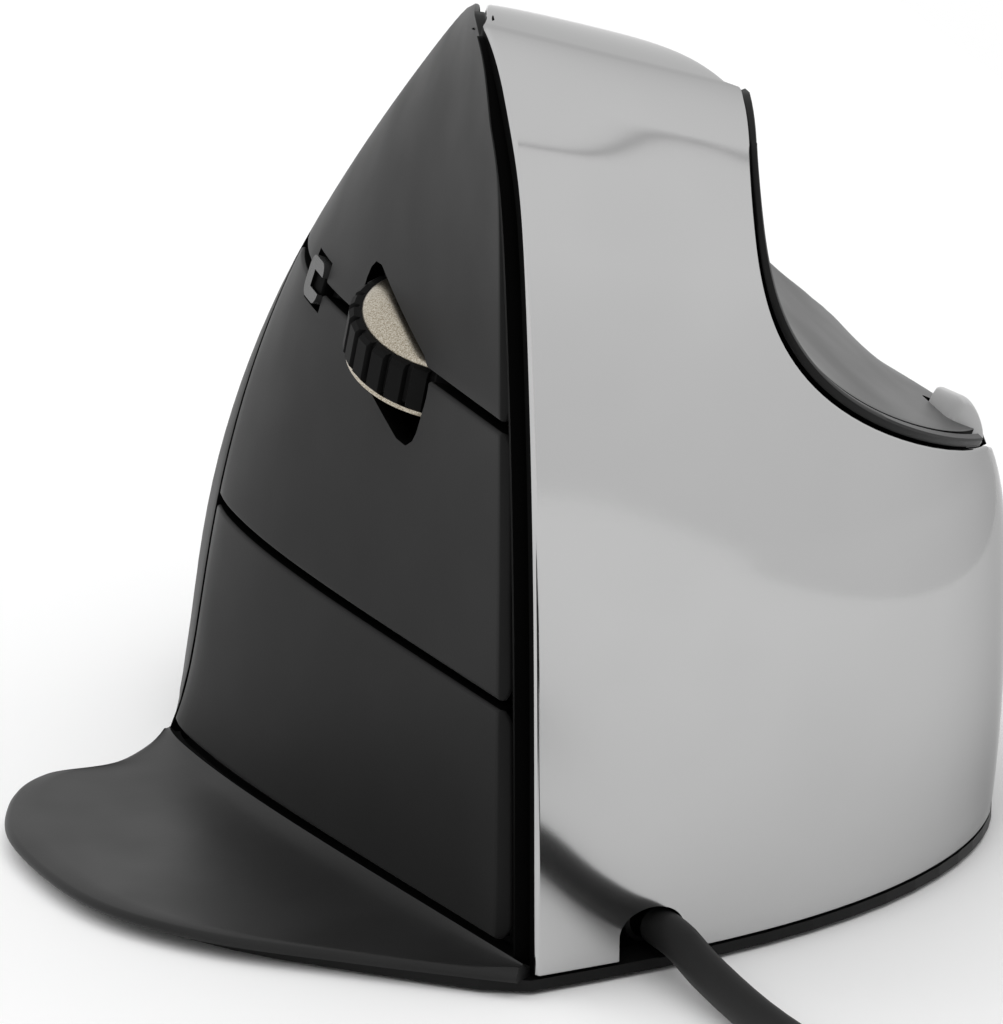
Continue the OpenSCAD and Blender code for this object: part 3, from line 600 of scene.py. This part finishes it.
def skin(name, rings, sharp=40):
    """A solid through rings of equally many points, with closed ends."""
    count = len(rings[0])
    points = [p for ring in rings for p in ring]
    last = len(points) - count
    faces = [list(range(count)), [last + k for k in reversed(range(count))]]
    for i in range(len(rings) - 1):
        for k in range(count):
            a = i * count + k
            b = i * count + (k + 1) % count
            faces.append([b, a, a + count, b + count])
    return new_piece(name, points, faces, sharp)


def ring_loop(name, rings):
    """A solid through rings that close on the first one again."""
    count = len(rings[0])
    points = [p for ring in rings for p in ring]
    faces = []
    for i in range(len(rings)):
        for k in range(count):
            a = i * count
            b = (i + 1) % len(rings) * count
            n = (k + 1) % count
            faces.append([a + k, a + n, b + n, b + k])
    return new_piece(name, points, faces)


def lathe(name, profile, sides=ROUND_SIDES):
    """A profile of radius and height turned round Z."""
    return ring_loop(name, [[polar(r, a, z) for r, z in profile] for a in circle(sides)])


def rounded(outline, rounds=3):
    """Cuts the corners of a closed outline a few times."""
    points = [np.array(p, float) for p in outline]
    for _ in range(rounds):
        following = points[1:] + points[:1]
        points = [q for a, b in zip(points, following) for q in (mix(a, b, 0.25), mix(a, b, 0.75))]
    return points


def loft(name, outline, length, end, shrink):
    """An outline of x and z drawn out along Y, its ends rounded over the length end."""
    middle = np.mean(outline, axis=0)
    half = length / 2
    bends = np.linspace(0, math.pi / 2, 7)
    front = [(-half + end * (1 - math.cos(a)), 1 - shrink * (1 - math.sin(a))) for a in bends]
    rear = [(-y, scale) for y, scale in reversed(front)]
    rings = []
    for y, scale in front + rear:
        rings.append([(x, y, z) for x, z in [mix(middle, p, scale) for p in outline]])
    return skin(name, rings, sharp=60)


def bake(piece):
    """Turns the modifiers' result into the piece's own mesh."""
    mesh = bpy.data.meshes.new_from_object(piece.evaluated_get(bpy.context.evaluated_depsgraph_get()))
    piece.modifiers.clear()
    piece.data = mesh


def part_finishes(piece):
    """Marks the edges between two finishes as sharp, so that each is shaded by itself."""
    finishes = {}
    for face in piece.data.polygons:
        for key in face.edge_keys:
            finishes.setdefault(key, set()).add(face.material_index)
    for edge in piece.data.edges:
        if len(finishes[edge.key]) > 1:
            edge.use_edge_sharp = True


def cut(piece, *cutters):
    """Cuts the shapes out of a piece that has its material. The cut faces are black, as painted shade on
    the walls of slots and openings.
    """
    for cutter in cutters:
        # the cutter's near-black passes to the cut faces as painted shade
        cutter.data.materials.append(BLACK_AND_PAINTED_SHADE)
        boolean = piece.modifiers.new("cut", "BOOLEAN")
        boolean.material_mode = "TRANSFER"
        boolean.operation = "DIFFERENCE"
        boolean.solver = "EXACT"
        boolean.object = cutter
    bake(piece)
    for cutter in cutters:
        bpy.data.objects.remove(cutter)
    part_finishes(piece)


def placed(piece, place=(0, 0, 0), turns=(0, 0, 0)):
    """Moves a mesh's own points: turns about X, Y and Z in degrees, then a shift in millimetres."""
    x, y, z = [Matrix.Rotation(math.radians(t), 4, axis) for t, axis in zip(turns, "XYZ")]
    piece.data.transform(Matrix.Translation(Vector(place) * MM) @ z @ y @ x)
    return piece


def drum(name, r, low, high, flat=1.0):
    """A cylinder along Z for cutting, flattened along Y."""
    outline = [(r * math.cos(a), r * flat * math.sin(a)) for a in circle(ROUND_SIDES)]
    return skin(name, [[(x, y, z) for x, y in outline] for z in (low, high)])


def rounded_block(name, size, r, corner_steps=6):
    """A box along Z with round upright edges."""
    outline = []
    for k, (sx, sy) in enumerate([(1, 1), (-1, 1), (-1, -1), (1, -1)]):
        for t in steps(corner_steps):
            a = math.pi / 2 * (k + t)
            x = sx * (size[0] / 2 - r) + r * math.cos(a)
            y = sy * (size[1] / 2 - r) + r * math.sin(a)
            outline.append((x, y))
    return skin(name, [[(x, y, z) for x, y in outline] for z in (-size[2] / 2, size[2] / 2)])


# places of the pieces that move in openings
WHEEL_AT = (-7.2, -20.3, 49)
WHEEL_TURN = (18, 6, 0)
ROCKER_AT = (-14.55, -0.24, 49.7)
ROCKER_TURN = (0, 18, 0)
UPPER_AT = (15.8, -27, 69.8)
LOWER_AT = (39.2, -18, 38.9)
LOWER_TURN = (0, 29, 0)

# finger buttons
EDGE = 0.3
BUTTON_WALL = 1.6
BUTTON_ROWS = 34
INDEX_ROWS = 44
BUTTON_COLS = 44
GROOVE_HIGH = 49.6
GROOVE_LOW = 25
HALF_GAP_HIGH = 0.5
HALF_GAP_LOW = 0.45
RING_FOOT = 3.5
TOP_ZONE = 7
BEVEL = 5.2
BEVEL_AHEAD = 0.5
CREASE = 0.12
GROOVE_CORNER = 1.1
END_SKIP = 0.08
SLOT = [(9.4, -5), (10.7, -4.4), (11.4, -3.2), (11.6, -2), (11.6, 1.6), (11.4, 2.8), (10.8, 3.8),
        (9.6, 4.4)]
SLOT_SHIFT = (1.2, -1.2, 0)
ROCKER_SLOT = (14, 5.7, 4.8)


def near_top(z):
    """Rises from 0 to 1 over the zone below the top."""
    return clamp((z - BODY_H + TOP_ZONE) / TOP_ZONE, 0, 1)


def with_bevel(row, edge, share):
    """Adds the front bevel to a row of the main face, with a rounded crease between the two."""
    corner = row[0]
    tip_x = max(front_x(edge) - 0.5 + near_top(edge), corner[0] + 0.6)
    tip = mix(corner, np.array([tip_x, corner[1] - BEVEL_AHEAD, corner[2]]), share)
    over = unit(tip - corner)
    back = unit(row[1] - corner)
    reach = min(CREASE, 0.4 * np.linalg.norm(tip - corner))
    crease = [corner + over * reach, corner + (over + back) * reach * 0.3, corner + back * reach]
    return [tip, mix(tip, crease[0], 0.5)] + crease + row[1:]


def bevel_share(gap):
    """How much of the bevel is left near a groove, whose corner is cut."""
    return 1 - 0.55 * (1 - clamp(gap / GROOVE_CORNER, 0, 1)) ** 2


def button_ys(edge):
    front = front_y(edge) + BEVEL + 0.3 * near_top(edge)
    return [mix(front, BUTTON_REAR - EDGE, u ** 1.2) for u in steps(BUTTON_COLS)]


def crowded(low, high, n):
    """Heights from low to high, closer together at both ends."""
    heights = []
    for t in steps(n):
        swing = math.cos(math.pi * mix(END_SKIP, 1 - END_SKIP, t)) / math.cos(math.pi * END_SKIP)
        heights.append(mix(low, high, (1 - swing) / 2))
    return heights


def level_button(name, low, high):
    rows = []
    for z in crowded(low + EDGE, high - EDGE, BUTTON_ROWS):
        row = [finger(y, z) for y in button_ys(z)]
        rows.append(with_bevel(row, z, bevel_share(min(z - low, high - z) - EDGE)))
    return shell(name, rows, BUTTON_WALL, EDGE, SOFT_DARK)


def index_button(name, low):
    """The upper button, whose rows follow the ridge and end in one row of the roof."""
    rows = []
    tops = button_ys(BODY_H)
    for v in steps(INDEX_ROWS):
        w = 1 - (1 - v) ** 1.5
        edge = mix(low, BODY_H, w)
        row = [finger(y, mix(low, ridge_z(top), w)) for y, top in zip(button_ys(edge), tops)]
        rows.append(with_bevel(row, edge, bevel_share(edge - low)))
    row = [roof(ridge_x(y) + 0.1, y) for y in tops]
    rows.append(with_bevel(row, BODY_H, 1))
    return shell(name, rows, BUTTON_WALL, EDGE, SOFT_DARK)


def slot_cutters():
    """The room of the wheel and that of the rocker."""
    wheel = skin("wheel_slot", [[polar(r, a, z) for a in circle(ROUND_SIDES)] for r, z in SLOT])
    placed(wheel, SLOT_SHIFT)
    placed(wheel, WHEEL_AT, WHEEL_TURN)
    rocker = placed(rounded_block("rocker_slot", ROCKER_SLOT, 1.2), (2, 0, 0))
    placed(rocker, ROCKER_AT, ROCKER_TURN)
    return wheel, rocker


def make_buttons():
    index = index_button("index_button_cap", GROOVE_HIGH + HALF_GAP_HIGH + EDGE)
    cut(index, *slot_cutters())
    finish_piece(index, "index_button", "soft_dark", SOFT_DARK, "index_button")
    middle = level_button("middle_button_cap", GROOVE_LOW + HALF_GAP_LOW, GROOVE_HIGH - HALF_GAP_HIGH)
    cut(middle, *slot_cutters())
    finish_piece(middle, "middle_button", "soft_dark", SOFT_DARK, "middle_button")
    ring = level_button("ring_button_cap", RING_FOOT, GROOVE_LOW - HALF_GAP_LOW)
    finish_piece(ring, "ring_button", "soft_dark", SOFT_DARK, "ring_button")


make_buttons()

# silver front panel
PANEL_WALL = 1.2
PANEL_ROWS = 90
PANEL_COLS = 60
PANEL_TOP = 81.8
PANEL_GAP = 0.75
ROOF_ROWS = 20
FOOT_ROUND = 1.2
NOTCH_R = 3.2
NOTCH_X = -1.3


def panel_left(w):
    return front_x(mix(WALL_FOOT, PANEL_TOP, w)) + PANEL_GAP + EDGE


def panel_right(w):
    return silver_x(mix(WALL_FOOT, ROOF_RIGHT, w)) - EDGE


def across():
    """Shares from left to right, with narrow columns beside both edges."""
    return [0, 0.002, 0.006] + [1 - (1 - u) ** 1.5 for u in steps(PANEL_COLS)[1:]]


def panel_row(w, shrink):
    row = []
    for q in across():
        x = mix(panel_left(w), panel_right(w) - shrink, q)
        top = BODY_H - 0.1 - top_fall(mix(panel_left(1), panel_right(1), q))
        z = mix(WALL_FOOT + EDGE, top, w)
        row.append(np.array([x, face_y(x, z), z]))
    return row


def roof_row(back):
    end = SHELL_FRONT - 0.4 - EDGE
    left = ridge_x(mix(PEAK_Y, end, back)) + mix(0.9, 1.15, min(back * 4, 1)) + EDGE
    right = side(mix(edge_y(ROOF_RIGHT), end, back), ROOF_RIGHT - 0.8)[0] - TRIM - EDGE
    row = []
    for q in across():
        x = mix(left, right, q)
        row.append(roof(x, mix(face_y(x, BODY_H - top_fall(x)), end, back)))
    return row


def make_panel():
    """The silver face and roof in one skin, with the cable's notch and a rounded lower right corner."""
    rows = []
    for v in steps(PANEL_ROWS):
        w = 1 - (1 - v) ** 1.6
        rise = clamp(w * BODY_H / FOOT_ROUND, 0, 1)
        rows.append(panel_row(w, FOOT_ROUND * (1 - math.sqrt(1 - (1 - rise) ** 2))))
    for back in steps(ROOF_ROWS)[1:]:
        rows.append(roof_row(back ** 1.4))
    panel = shell("front_panel_skin", rows, PANEL_WALL, EDGE, SILVER)
    hole = placed(drum("notch_round", NOTCH_R, -6, 6, flat=0.75), (NOTCH_X, 0, 0), (90, 0, 0))
    foot = placed(rounded_block("notch_foot", (2 * NOTCH_R, 12, 5), 0.1), (NOTCH_X, 0, -2.5))
    for cutter in (hole, foot):
        placed(cutter, CABLE_EXIT, CABLE_TURN)
    cut(panel, hole, foot)
    finish_piece(panel, "case", "silver", SILVER, "front_panel")


make_panel()

# black strip that closes the gap between the buttons and the silver panel, behind both edges. It stands
# for the black frame inside the gap, and its deeper black is painted shade of that cavity
STRIP_SECTION = [(-0.55, 2.3), (1.3, 2.3), (1.3, 2.9), (-0.55, 2.9)]


def make_corner_strip():
    rings = []
    for t in steps(80):
        z = mix(2, 81, 1 - (1 - t) ** 1.4)
        x = front_x(z) + 0.7 * near_top(z)
        y = front_y(z)
        rings.append([(x + right, y + back, z) for right, back in STRIP_SECTION])
    finish_piece(skin("corner_strip", rings), "case", "black", BLACK_AND_PAINTED_SHADE)


make_corner_strip()

# rear shell: hoops from the finger side over the spine to the thumb side
SHELL_WALL = 2
SHELL_EDGE = 0.05
REAR_HOOPS = 40
FRONT_HOOPS = 26
FINGER_STEPS = 30
ROOF_STEPS = 14
THUMB_STEPS = 20
FOOT_STEPS = 16


def roof_start(y):
    """Height where the roof starts beside the spine."""
    x = ridge_x(y)
    return roof(x + min(1.6, 0.15 * (side(y, WALL_FOOT)[0] - x)), y)[2]


def hoop(y, forward):
    """One hoop at y. The share forward moves its foot from the split toward the front edge."""
    top = ridge_z(y)
    start = roof_start(y)
    points = [finger(y, mix(WALL_FOOT, top, 1 - (1 - t) ** 1.7)) for t in steps(FINGER_STEPS)]
    points += [side(y, mix(start, roof_edge(y), t ** 1.4)) for t in steps(ROOF_STEPS)]
    points += [side(y, mix(roof_edge(y), rim_edge(y), t)) for t in steps(THUMB_STEPS)[1:-1]]
    for t in steps(FOOT_STEPS):
        z = mix(rim_edge(y), WALL_FOOT, t)
        foot_y = mix(SHELL_SPLIT, edge_y(z) + 0.8, forward) if forward else y
        points.append(side(foot_y, z))
    return points


def make_rear_shell():
    """In front of the split only the roof and the band below the thumb hollow are kept."""
    rows = [hoop(mix(REAR_END - 0.3, SHELL_SPLIT, t ** 1.9), 0) for t in steps(REAR_HOOPS)]
    rows += [hoop(mix(SHELL_SPLIT, SHELL_FRONT, t), t) for t in steps(FRONT_HOOPS)[1:]]
    roof_first = FINGER_STEPS + 1
    roof_end = roof_first + ROOF_STEPS
    thumb_end = roof_end + THUMB_STEPS
    rear = shell("rear_shell_skin", rows, SHELL_WALL, SHELL_EDGE, SOFT_DARK,
                 lambda i, j: i < REAR_HOOPS or roof_first <= j < roof_end or j >= thumb_end)
    finish_piece(rear, "case", "soft_dark", SOFT_DARK, "rear_shell")


make_rear_shell()

# thumb hollow
HOLLOW_ROWS = 70
HOLLOW_COLS = 48
HOLLOW_TOP = 72.2
HOLLOW_FRONT = 2.7
UPPER_OPENING = (10.8, 5.2, 9)
LOWER_OPENING = (5.4, 8.4, 9)
LOWER_AHEAD = -1.5


def thumb_top(y):
    edge = HOLLOW_TOP - clamp((-28 - y) / 4, 0, 1) + max(y - SHELL_FRONT - 3, 0)
    return min(roof_edge(y) - 0.6, edge)


def thumb_z(y, v):
    return mix(rim_edge(y) + 0.5, thumb_top(y), v ** 1.5)


def thumb_point(u, v):
    """A point of the hollow. Its depth and height depend on each other, so a few rounds find both."""
    y = SHELL_FRONT
    for _ in range(5):
        y = mix(edge_y(thumb_z(y, v)) + HOLLOW_FRONT, SHELL_SPLIT - 0.4, u)
    return side(y, thumb_z(y, v))


def make_thumb_panel():
    rows = [[thumb_point(u, v) for u in steps(HOLLOW_COLS)] for v in steps(HOLLOW_ROWS)]
    panel = shell("thumb_panel_skin", rows, SHELL_WALL, SHELL_EDGE, THUMB_GREY)
    upper = placed(rounded_block("upper_opening", UPPER_OPENING, 1.5), turns=(0, 90, 0))
    placed(upper, UPPER_AT, (90, 0, 0))
    lower = placed(rounded_block("lower_opening", LOWER_OPENING, 1.2), (1.35, LOWER_AHEAD, 0))
    placed(lower, LOWER_AT, LOWER_TURN)
    cut(panel, upper, lower)
    finish_piece(panel, "case", "thumb_grey", THUMB_GREY, "thumb_panel")


make_thumb_panel()

# black band between the silver's edge and the thumb hollow
BAND_SECTION = [(0.1, 0.4), (0.3, 0.25), (0.6, 0.3), (0.75, 0.6), (0.75, 2), (0.1, 2)]
BAND_LOW = 38.4


def band_ring(z):
    x = silver_x(z)
    y = face_y(x, z)
    rise = 0.3 if z > 70 else 1
    return [(x + out, y + back, z + out * rise) for out, back in BAND_SECTION]


def make_edge_band():
    heights = [mix(BAND_LOW, ROOF_RIGHT - 1.1, t ** 1.3) for t in steps(90)]
    band = skin("thumb_edge_band", [band_ring(z) for z in heights])
    finish_piece(band, "case", "black", BLACK_SATIN, "thumb_edge_trim")


make_edge_band()

# thumb buttons, drawn out along the mouse
UPPER_FACE = [(-2.4, -2.2), (1, -2.2), (1.5, -1.7), (1.75, -0.6), (1.75, 0.6), (1.5, 1.7), (0.9, 2.2),
              (-2.4, 0.2)]
LOWER_FACE = [(-0.7, -2), (2.8, -2), (3.3, -1), (3.4, 0), (3, 0.8), (2.2, 1.7), (1.2, 2.5), (0.3, 2.9),
              (-0.3, 2.9), (-0.7, 2.5)]


def make_thumb_buttons():
    upper = loft("thumb_upper_cap", rounded(UPPER_FACE), length=10, end=1.6, shrink=0.4)
    placed(upper, UPPER_AT)
    finish_piece(upper, "thumb_upper", "thumb_grey", THUMB_GREY, "thumb_upper_button")
    lower = loft("thumb_lower_cap", rounded(LOWER_FACE), length=7, end=1.2, shrink=0.3)
    placed(lower, (0, LOWER_AHEAD, -0.9), (-8, 0, 0))
    placed(lower, LOWER_AT, LOWER_TURN)
    # the lower button takes the lighter copy of thumb_grey, painted light for its top-lit face
    finish_piece(lower, "thumb_lower", "thumb_grey", LOWER_KEY_LIT_GREY, "thumb_lower_button")


make_thumb_buttons()

# scroll wheel: a gold core with two rims and a ribbed tyre between them
WHEEL_R = 9.2
TYRE_IN = 6.6
TYRE_HALF = 2.1
TYRE_ROUND = 0.35
TYRE_RIBS = 26
RIB = [(0, 0.12), (0.05, 0), (0.68, 0), (0.73, 0.12), (0.77, 0.6), (0.96, 0.6)]
UPPER_SIDE = [(8.1, TYRE_HALF), (8.1, 2.2), (8, 2.4), (7.7, 2.62), (7.1, 2.9), (6.2, 3.25), (5, 3.5),
              (3, 3.7), (1.22, 3.75)]
LOWER_SIDE = [(1.22, -3), (8, -3), (8.5, -2.8), (8.85, -2.5), (8.85, -TYRE_HALF)]


def tyre_ring(a, r):
    section = [(TYRE_IN, -TYRE_HALF), (r - TYRE_ROUND, -TYRE_HALF), (r, TYRE_ROUND - TYRE_HALF),
               (r, TYRE_HALF - TYRE_ROUND), (r - TYRE_ROUND, TYRE_HALF), (TYRE_IN, TYRE_HALF)]
    return [polar(q, a, z) for q, z in section]


def make_wheel():
    profile = [(TYRE_IN, TYRE_HALF)] + UPPER_SIDE + LOWER_SIDE + [(TYRE_IN, -TYRE_HALF)]
    core = placed(lathe("wheel_rims", profile), WHEEL_AT, WHEEL_TURN)
    finish_piece(core, "wheel", "gold", GOLD, "wheel_hub")
    rings = []
    for k in range(TYRE_RIBS):
        for share, depth in RIB:
            rings.append(tyre_ring(2 * math.pi * (k + share) / TYRE_RIBS, WHEEL_R - depth))
    tyre = placed(ring_loop("wheel_ribs", rings), WHEEL_AT, WHEEL_TURN)
    finish_piece(tyre, "wheel", "tyre_black", RUBBER, "wheel_tyre")


make_wheel()


# speed rocker: a grey cap with a black channel in its front end, on a core that holds the pin
def make_rocker():
    cap = placed(rounded_block("rocker_cap", (3.9, 4.9, 2.6), 1.2), turns=(0, 90, 0))
    placed(cap, (0.9, 0, 0))
    core = placed(rounded_block("rocker_core", (3.6, 5.2, 2.8), 0.8), (2.9, 0, 0))
    for piece in (cap, core):
        piece.data.materials.append(ROCKER_GREY)
    cut(cap, placed(rounded_block("channel_room", (3, 4.4, 1.6), 0.3), (-0.6, -1.7, 0)))
    cut(core, placed(drum("pin_hole", 0.85, -8, 8), (4, 0, 0), (90, 0, 0)))
    insert = placed(rounded_block("rocker_channel", (1.2, 3.6, 1.5), 0.3), (0.5, -0.8, 0))
    for piece in (cap, core, insert):
        placed(piece, ROCKER_AT, ROCKER_TURN)
    finish_piece(cap, "rocker", "thumb_grey", ROCKER_GREY, "speed_rocker")
    finish_piece(core, "rocker", "thumb_grey", ROCKER_GREY)
    finish_piece(insert, "rocker", "black", BLACK_AND_PAINTED_SHADE)


make_rocker()

# dark wing along the foot of the finger side
WING_EDGE = [(-9.5, -53.9), (-22, -46), (-34, -37.5), (-42, -27), (-45.7, -12), (-44.4, -1.6),
             (-40.3, 4.8), (-33, 6.4), (-27.2, 13)]
WING_WALL_Y = [-53, -46, -38, -28, -16, -6, 2, 8, 13.4]
WING_SHARES = (0.9, 0.8, 0.65, 0.5, 0.38, 0.27, 0.18, 0.11, 0.05)
WALL_Z = 2.7
WING_LOW = 1.42


def wing_ring(t):
    """A section of the wing, from its rolled outer edge up to the button's wall and back under it."""
    y = float(curve_at([[v] for v in WING_WALL_Y], t)[0])
    wall = finger(max(y, front_y(WALL_Z) + 0.3), WALL_Z)[:2]
    edge = curve_at(WING_EDGE, t)
    out = unit(edge - wall)
    far = max(np.linalg.norm(edge - wall), 0.9)
    curl = min(0.6, 0.3 * far)
    section = [(far - 0.25, WING_LOW), (far, 1.75), (far - 0.1 * curl, 2), (far - 0.45 * curl, 2.25),
               (far - curl, 2.38)]
    for share in WING_SHARES:
        d = mix(0.15, far - curl, share)
        section.append((d, 2.15 + 0.23 * share ** 2 + 0.8 * math.exp(-d / 1.6)))
    section += [(0.15, 2.93), (-0.4, 2.3), (-1.05, 2.15), (-1.05, WING_LOW)]
    return [(*(wall + out * d), z) for d, z in section]


def make_wing():
    wing = skin("side_wing", [wing_ring(t) for t in steps(110)], sharp=50)
    # the wing takes the glossier copy of soft_dark, painted light for the light from above
    finish_piece(wing, "case", "soft_dark", WING_LIT_COPY, "side_lip")


make_wing()

# sleeve round the cable, set back in its notch, and a black wall behind it, as painted shade for the dark
# inside of the notch
SLEEVE = [(1.77, -7), (2.3, -7), (2.3, -2.4), (2.15, -2), (1.77, -1.8)]


def make_sleeve():
    sleeve = placed(lathe("cable_sleeve", SLEEVE, 48), turns=(90, 0, 0))
    placed(sleeve, CABLE_EXIT, CABLE_TURN)
    finish_piece(sleeve, "case", "black", BLACK_SATIN, "cable_grommet")
    # near-black wall inside the notch: painted shade
    back = placed(rounded_block("cable_hole_back", (10, 1, 6.4), 0.3), (-1, 2.6, 0.8))
    back.data.materials.append(BLACK_AND_PAINTED_SHADE)
    cut(back, placed(drum("cable_room", 2.4, -6, 6), turns=(90, 0, 0)))
    placed(back, CABLE_EXIT, CABLE_TURN)
    finish_piece(back, "case", "black", BLACK_AND_PAINTED_SHADE)


make_sleeve()

# CAD nodes that keep their shape get their finish here
FINISHES = {"silver": SILVER, "soft_dark": SOFT_DARK, "thumb_grey": THUMB_GREY, "black": BLACK_SATIN,
            "gold": GOLD, "tyre_black": RUBBER, "steel": STEEL, "board_green": BOARD_GREEN, "pale": PALE,
            "cable_black": CABLE_BLACK, "tie_grey": TIE_GREY}


def finish_nodes():
    for part in frame["record"]["subparts"]:
        node = nodes[part["node"]]
        if not node.hide_render:
            node.data.materials.clear()
            node.data.materials.append(FINISHES[part["material_slot"]])


finish_nodes()

# stage: pale floor, white surroundings and soft lamps
FLOOR_REACH = 3000
FLOOR_RIGHT = 130
RAIL = [(480, -390, 640), (540, -280, 615), (595, -205, 580), (640, -75, 560), (675, 0, 510),
        (715, 80, 435), (750, 200, 360)]
RAIL_R = 5
SEEN_LIGHT = 1.0
CAST_LIGHT = 0.6
LOW_LIGHT = 0.88
HORIZON = (-0.3, 0.1)


def make_floor():
    """A white floor. Its right edge, out of the picture, is mirrored as a soft line in the silver."""
    points = [(-FLOOR_REACH, -FLOOR_REACH, 0), (FLOOR_RIGHT, -FLOOR_REACH, 0),
              (FLOOR_RIGHT, FLOOR_REACH, 0), (-FLOOR_REACH, FLOOR_REACH, 0)]
    floor = new_piece("floor", points, [[0, 1, 2, 3]])
    floor.data.materials.append(new_material("floor_white", grey(0.95), roughness=0.7))


def make_rail():
    """A thin grey rail, out of the picture, that is mirrored as a line in the silver's upper part."""
    path = [curve_at(RAIL, t) for t in steps(40)]
    around = [polar(RAIL_R, a, 0)[:2] for a in circle(8)]
    rail = skin("studio_rail", [[(x + right, y, z + up) for right, up in around] for x, y, z in path])
    rail.data.materials.append(new_material("rail_grey", grey(0.2), roughness=0.8))


def make_lamp(name, toward, angle, power):
    """A far, soft lamp that shines from the direction toward and lights the whole floor evenly."""
    data = bpy.data.lights.new(name, "SUN")
    data.angle = math.radians(angle)
    data.energy = power
    lamp = bpy.data.objects.new(name, data)
    lamp.rotation_mode = "QUATERNION"
    lamp.rotation_quaternion = Vector(toward).to_track_quat("Z", "Y")
    lamp.visible_glossy = False
    bpy.context.scene.collection.objects.link(lamp)


def maximum(tree, a, b):
    node = tree.nodes.new("ShaderNodeMath")
    node.operation = "MAXIMUM"
    tree.links.new(a, node.inputs[0])
    tree.links.new(b, node.inputs[1])
    return node.outputs[0]


def make_surroundings():
    """White surroundings: bright where they are seen or mirrored, softer where they light the object.

    Below the horizon they are mirrored a little darker than the floor, so that its right edge
    shows in the silver.
    """
    world = bpy.data.worlds.new("studio")
    world.use_nodes = True
    tree = world.node_tree
    background = tree.nodes["Background"]
    rays = tree.nodes.new("ShaderNodeLightPath").outputs
    seen = maximum(tree, rays["Is Camera Ray"], rays["Is Glossy Ray"])
    seen = maximum(tree, seen, rays["Is Transmission Ray"])
    level = map_range(tree, seen, (0, 1), (CAST_LIGHT, SEEN_LIGHT))
    tree.links.new(level.outputs["Result"], background.inputs["Strength"])
    place = tree.nodes.new("ShaderNodeTexCoord")
    parts = tree.nodes.new("ShaderNodeSeparateXYZ")
    tree.links.new(place.outputs["Generated"], parts.inputs["Vector"])
    shade = map_range(tree, parts.outputs["Z"], HORIZON, (LOW_LIGHT, 1.0))
    shade.interpolation_type = "SMOOTHSTEP"
    white = maximum(tree, shade.outputs["Result"], rays["Is Camera Ray"])
    tree.links.new(white, background.inputs["Color"])
    bpy.context.scene.world = world


make_floor()
make_rail()
make_surroundings()
make_lamp("top", (-0.2, -0.1, 1), 90, 1.3)
make_lamp("rear_left", (-0.75, 0.65, 0.5), 60, 0.7)
bpy.context.scene.view_settings.view_transform = "Standard"
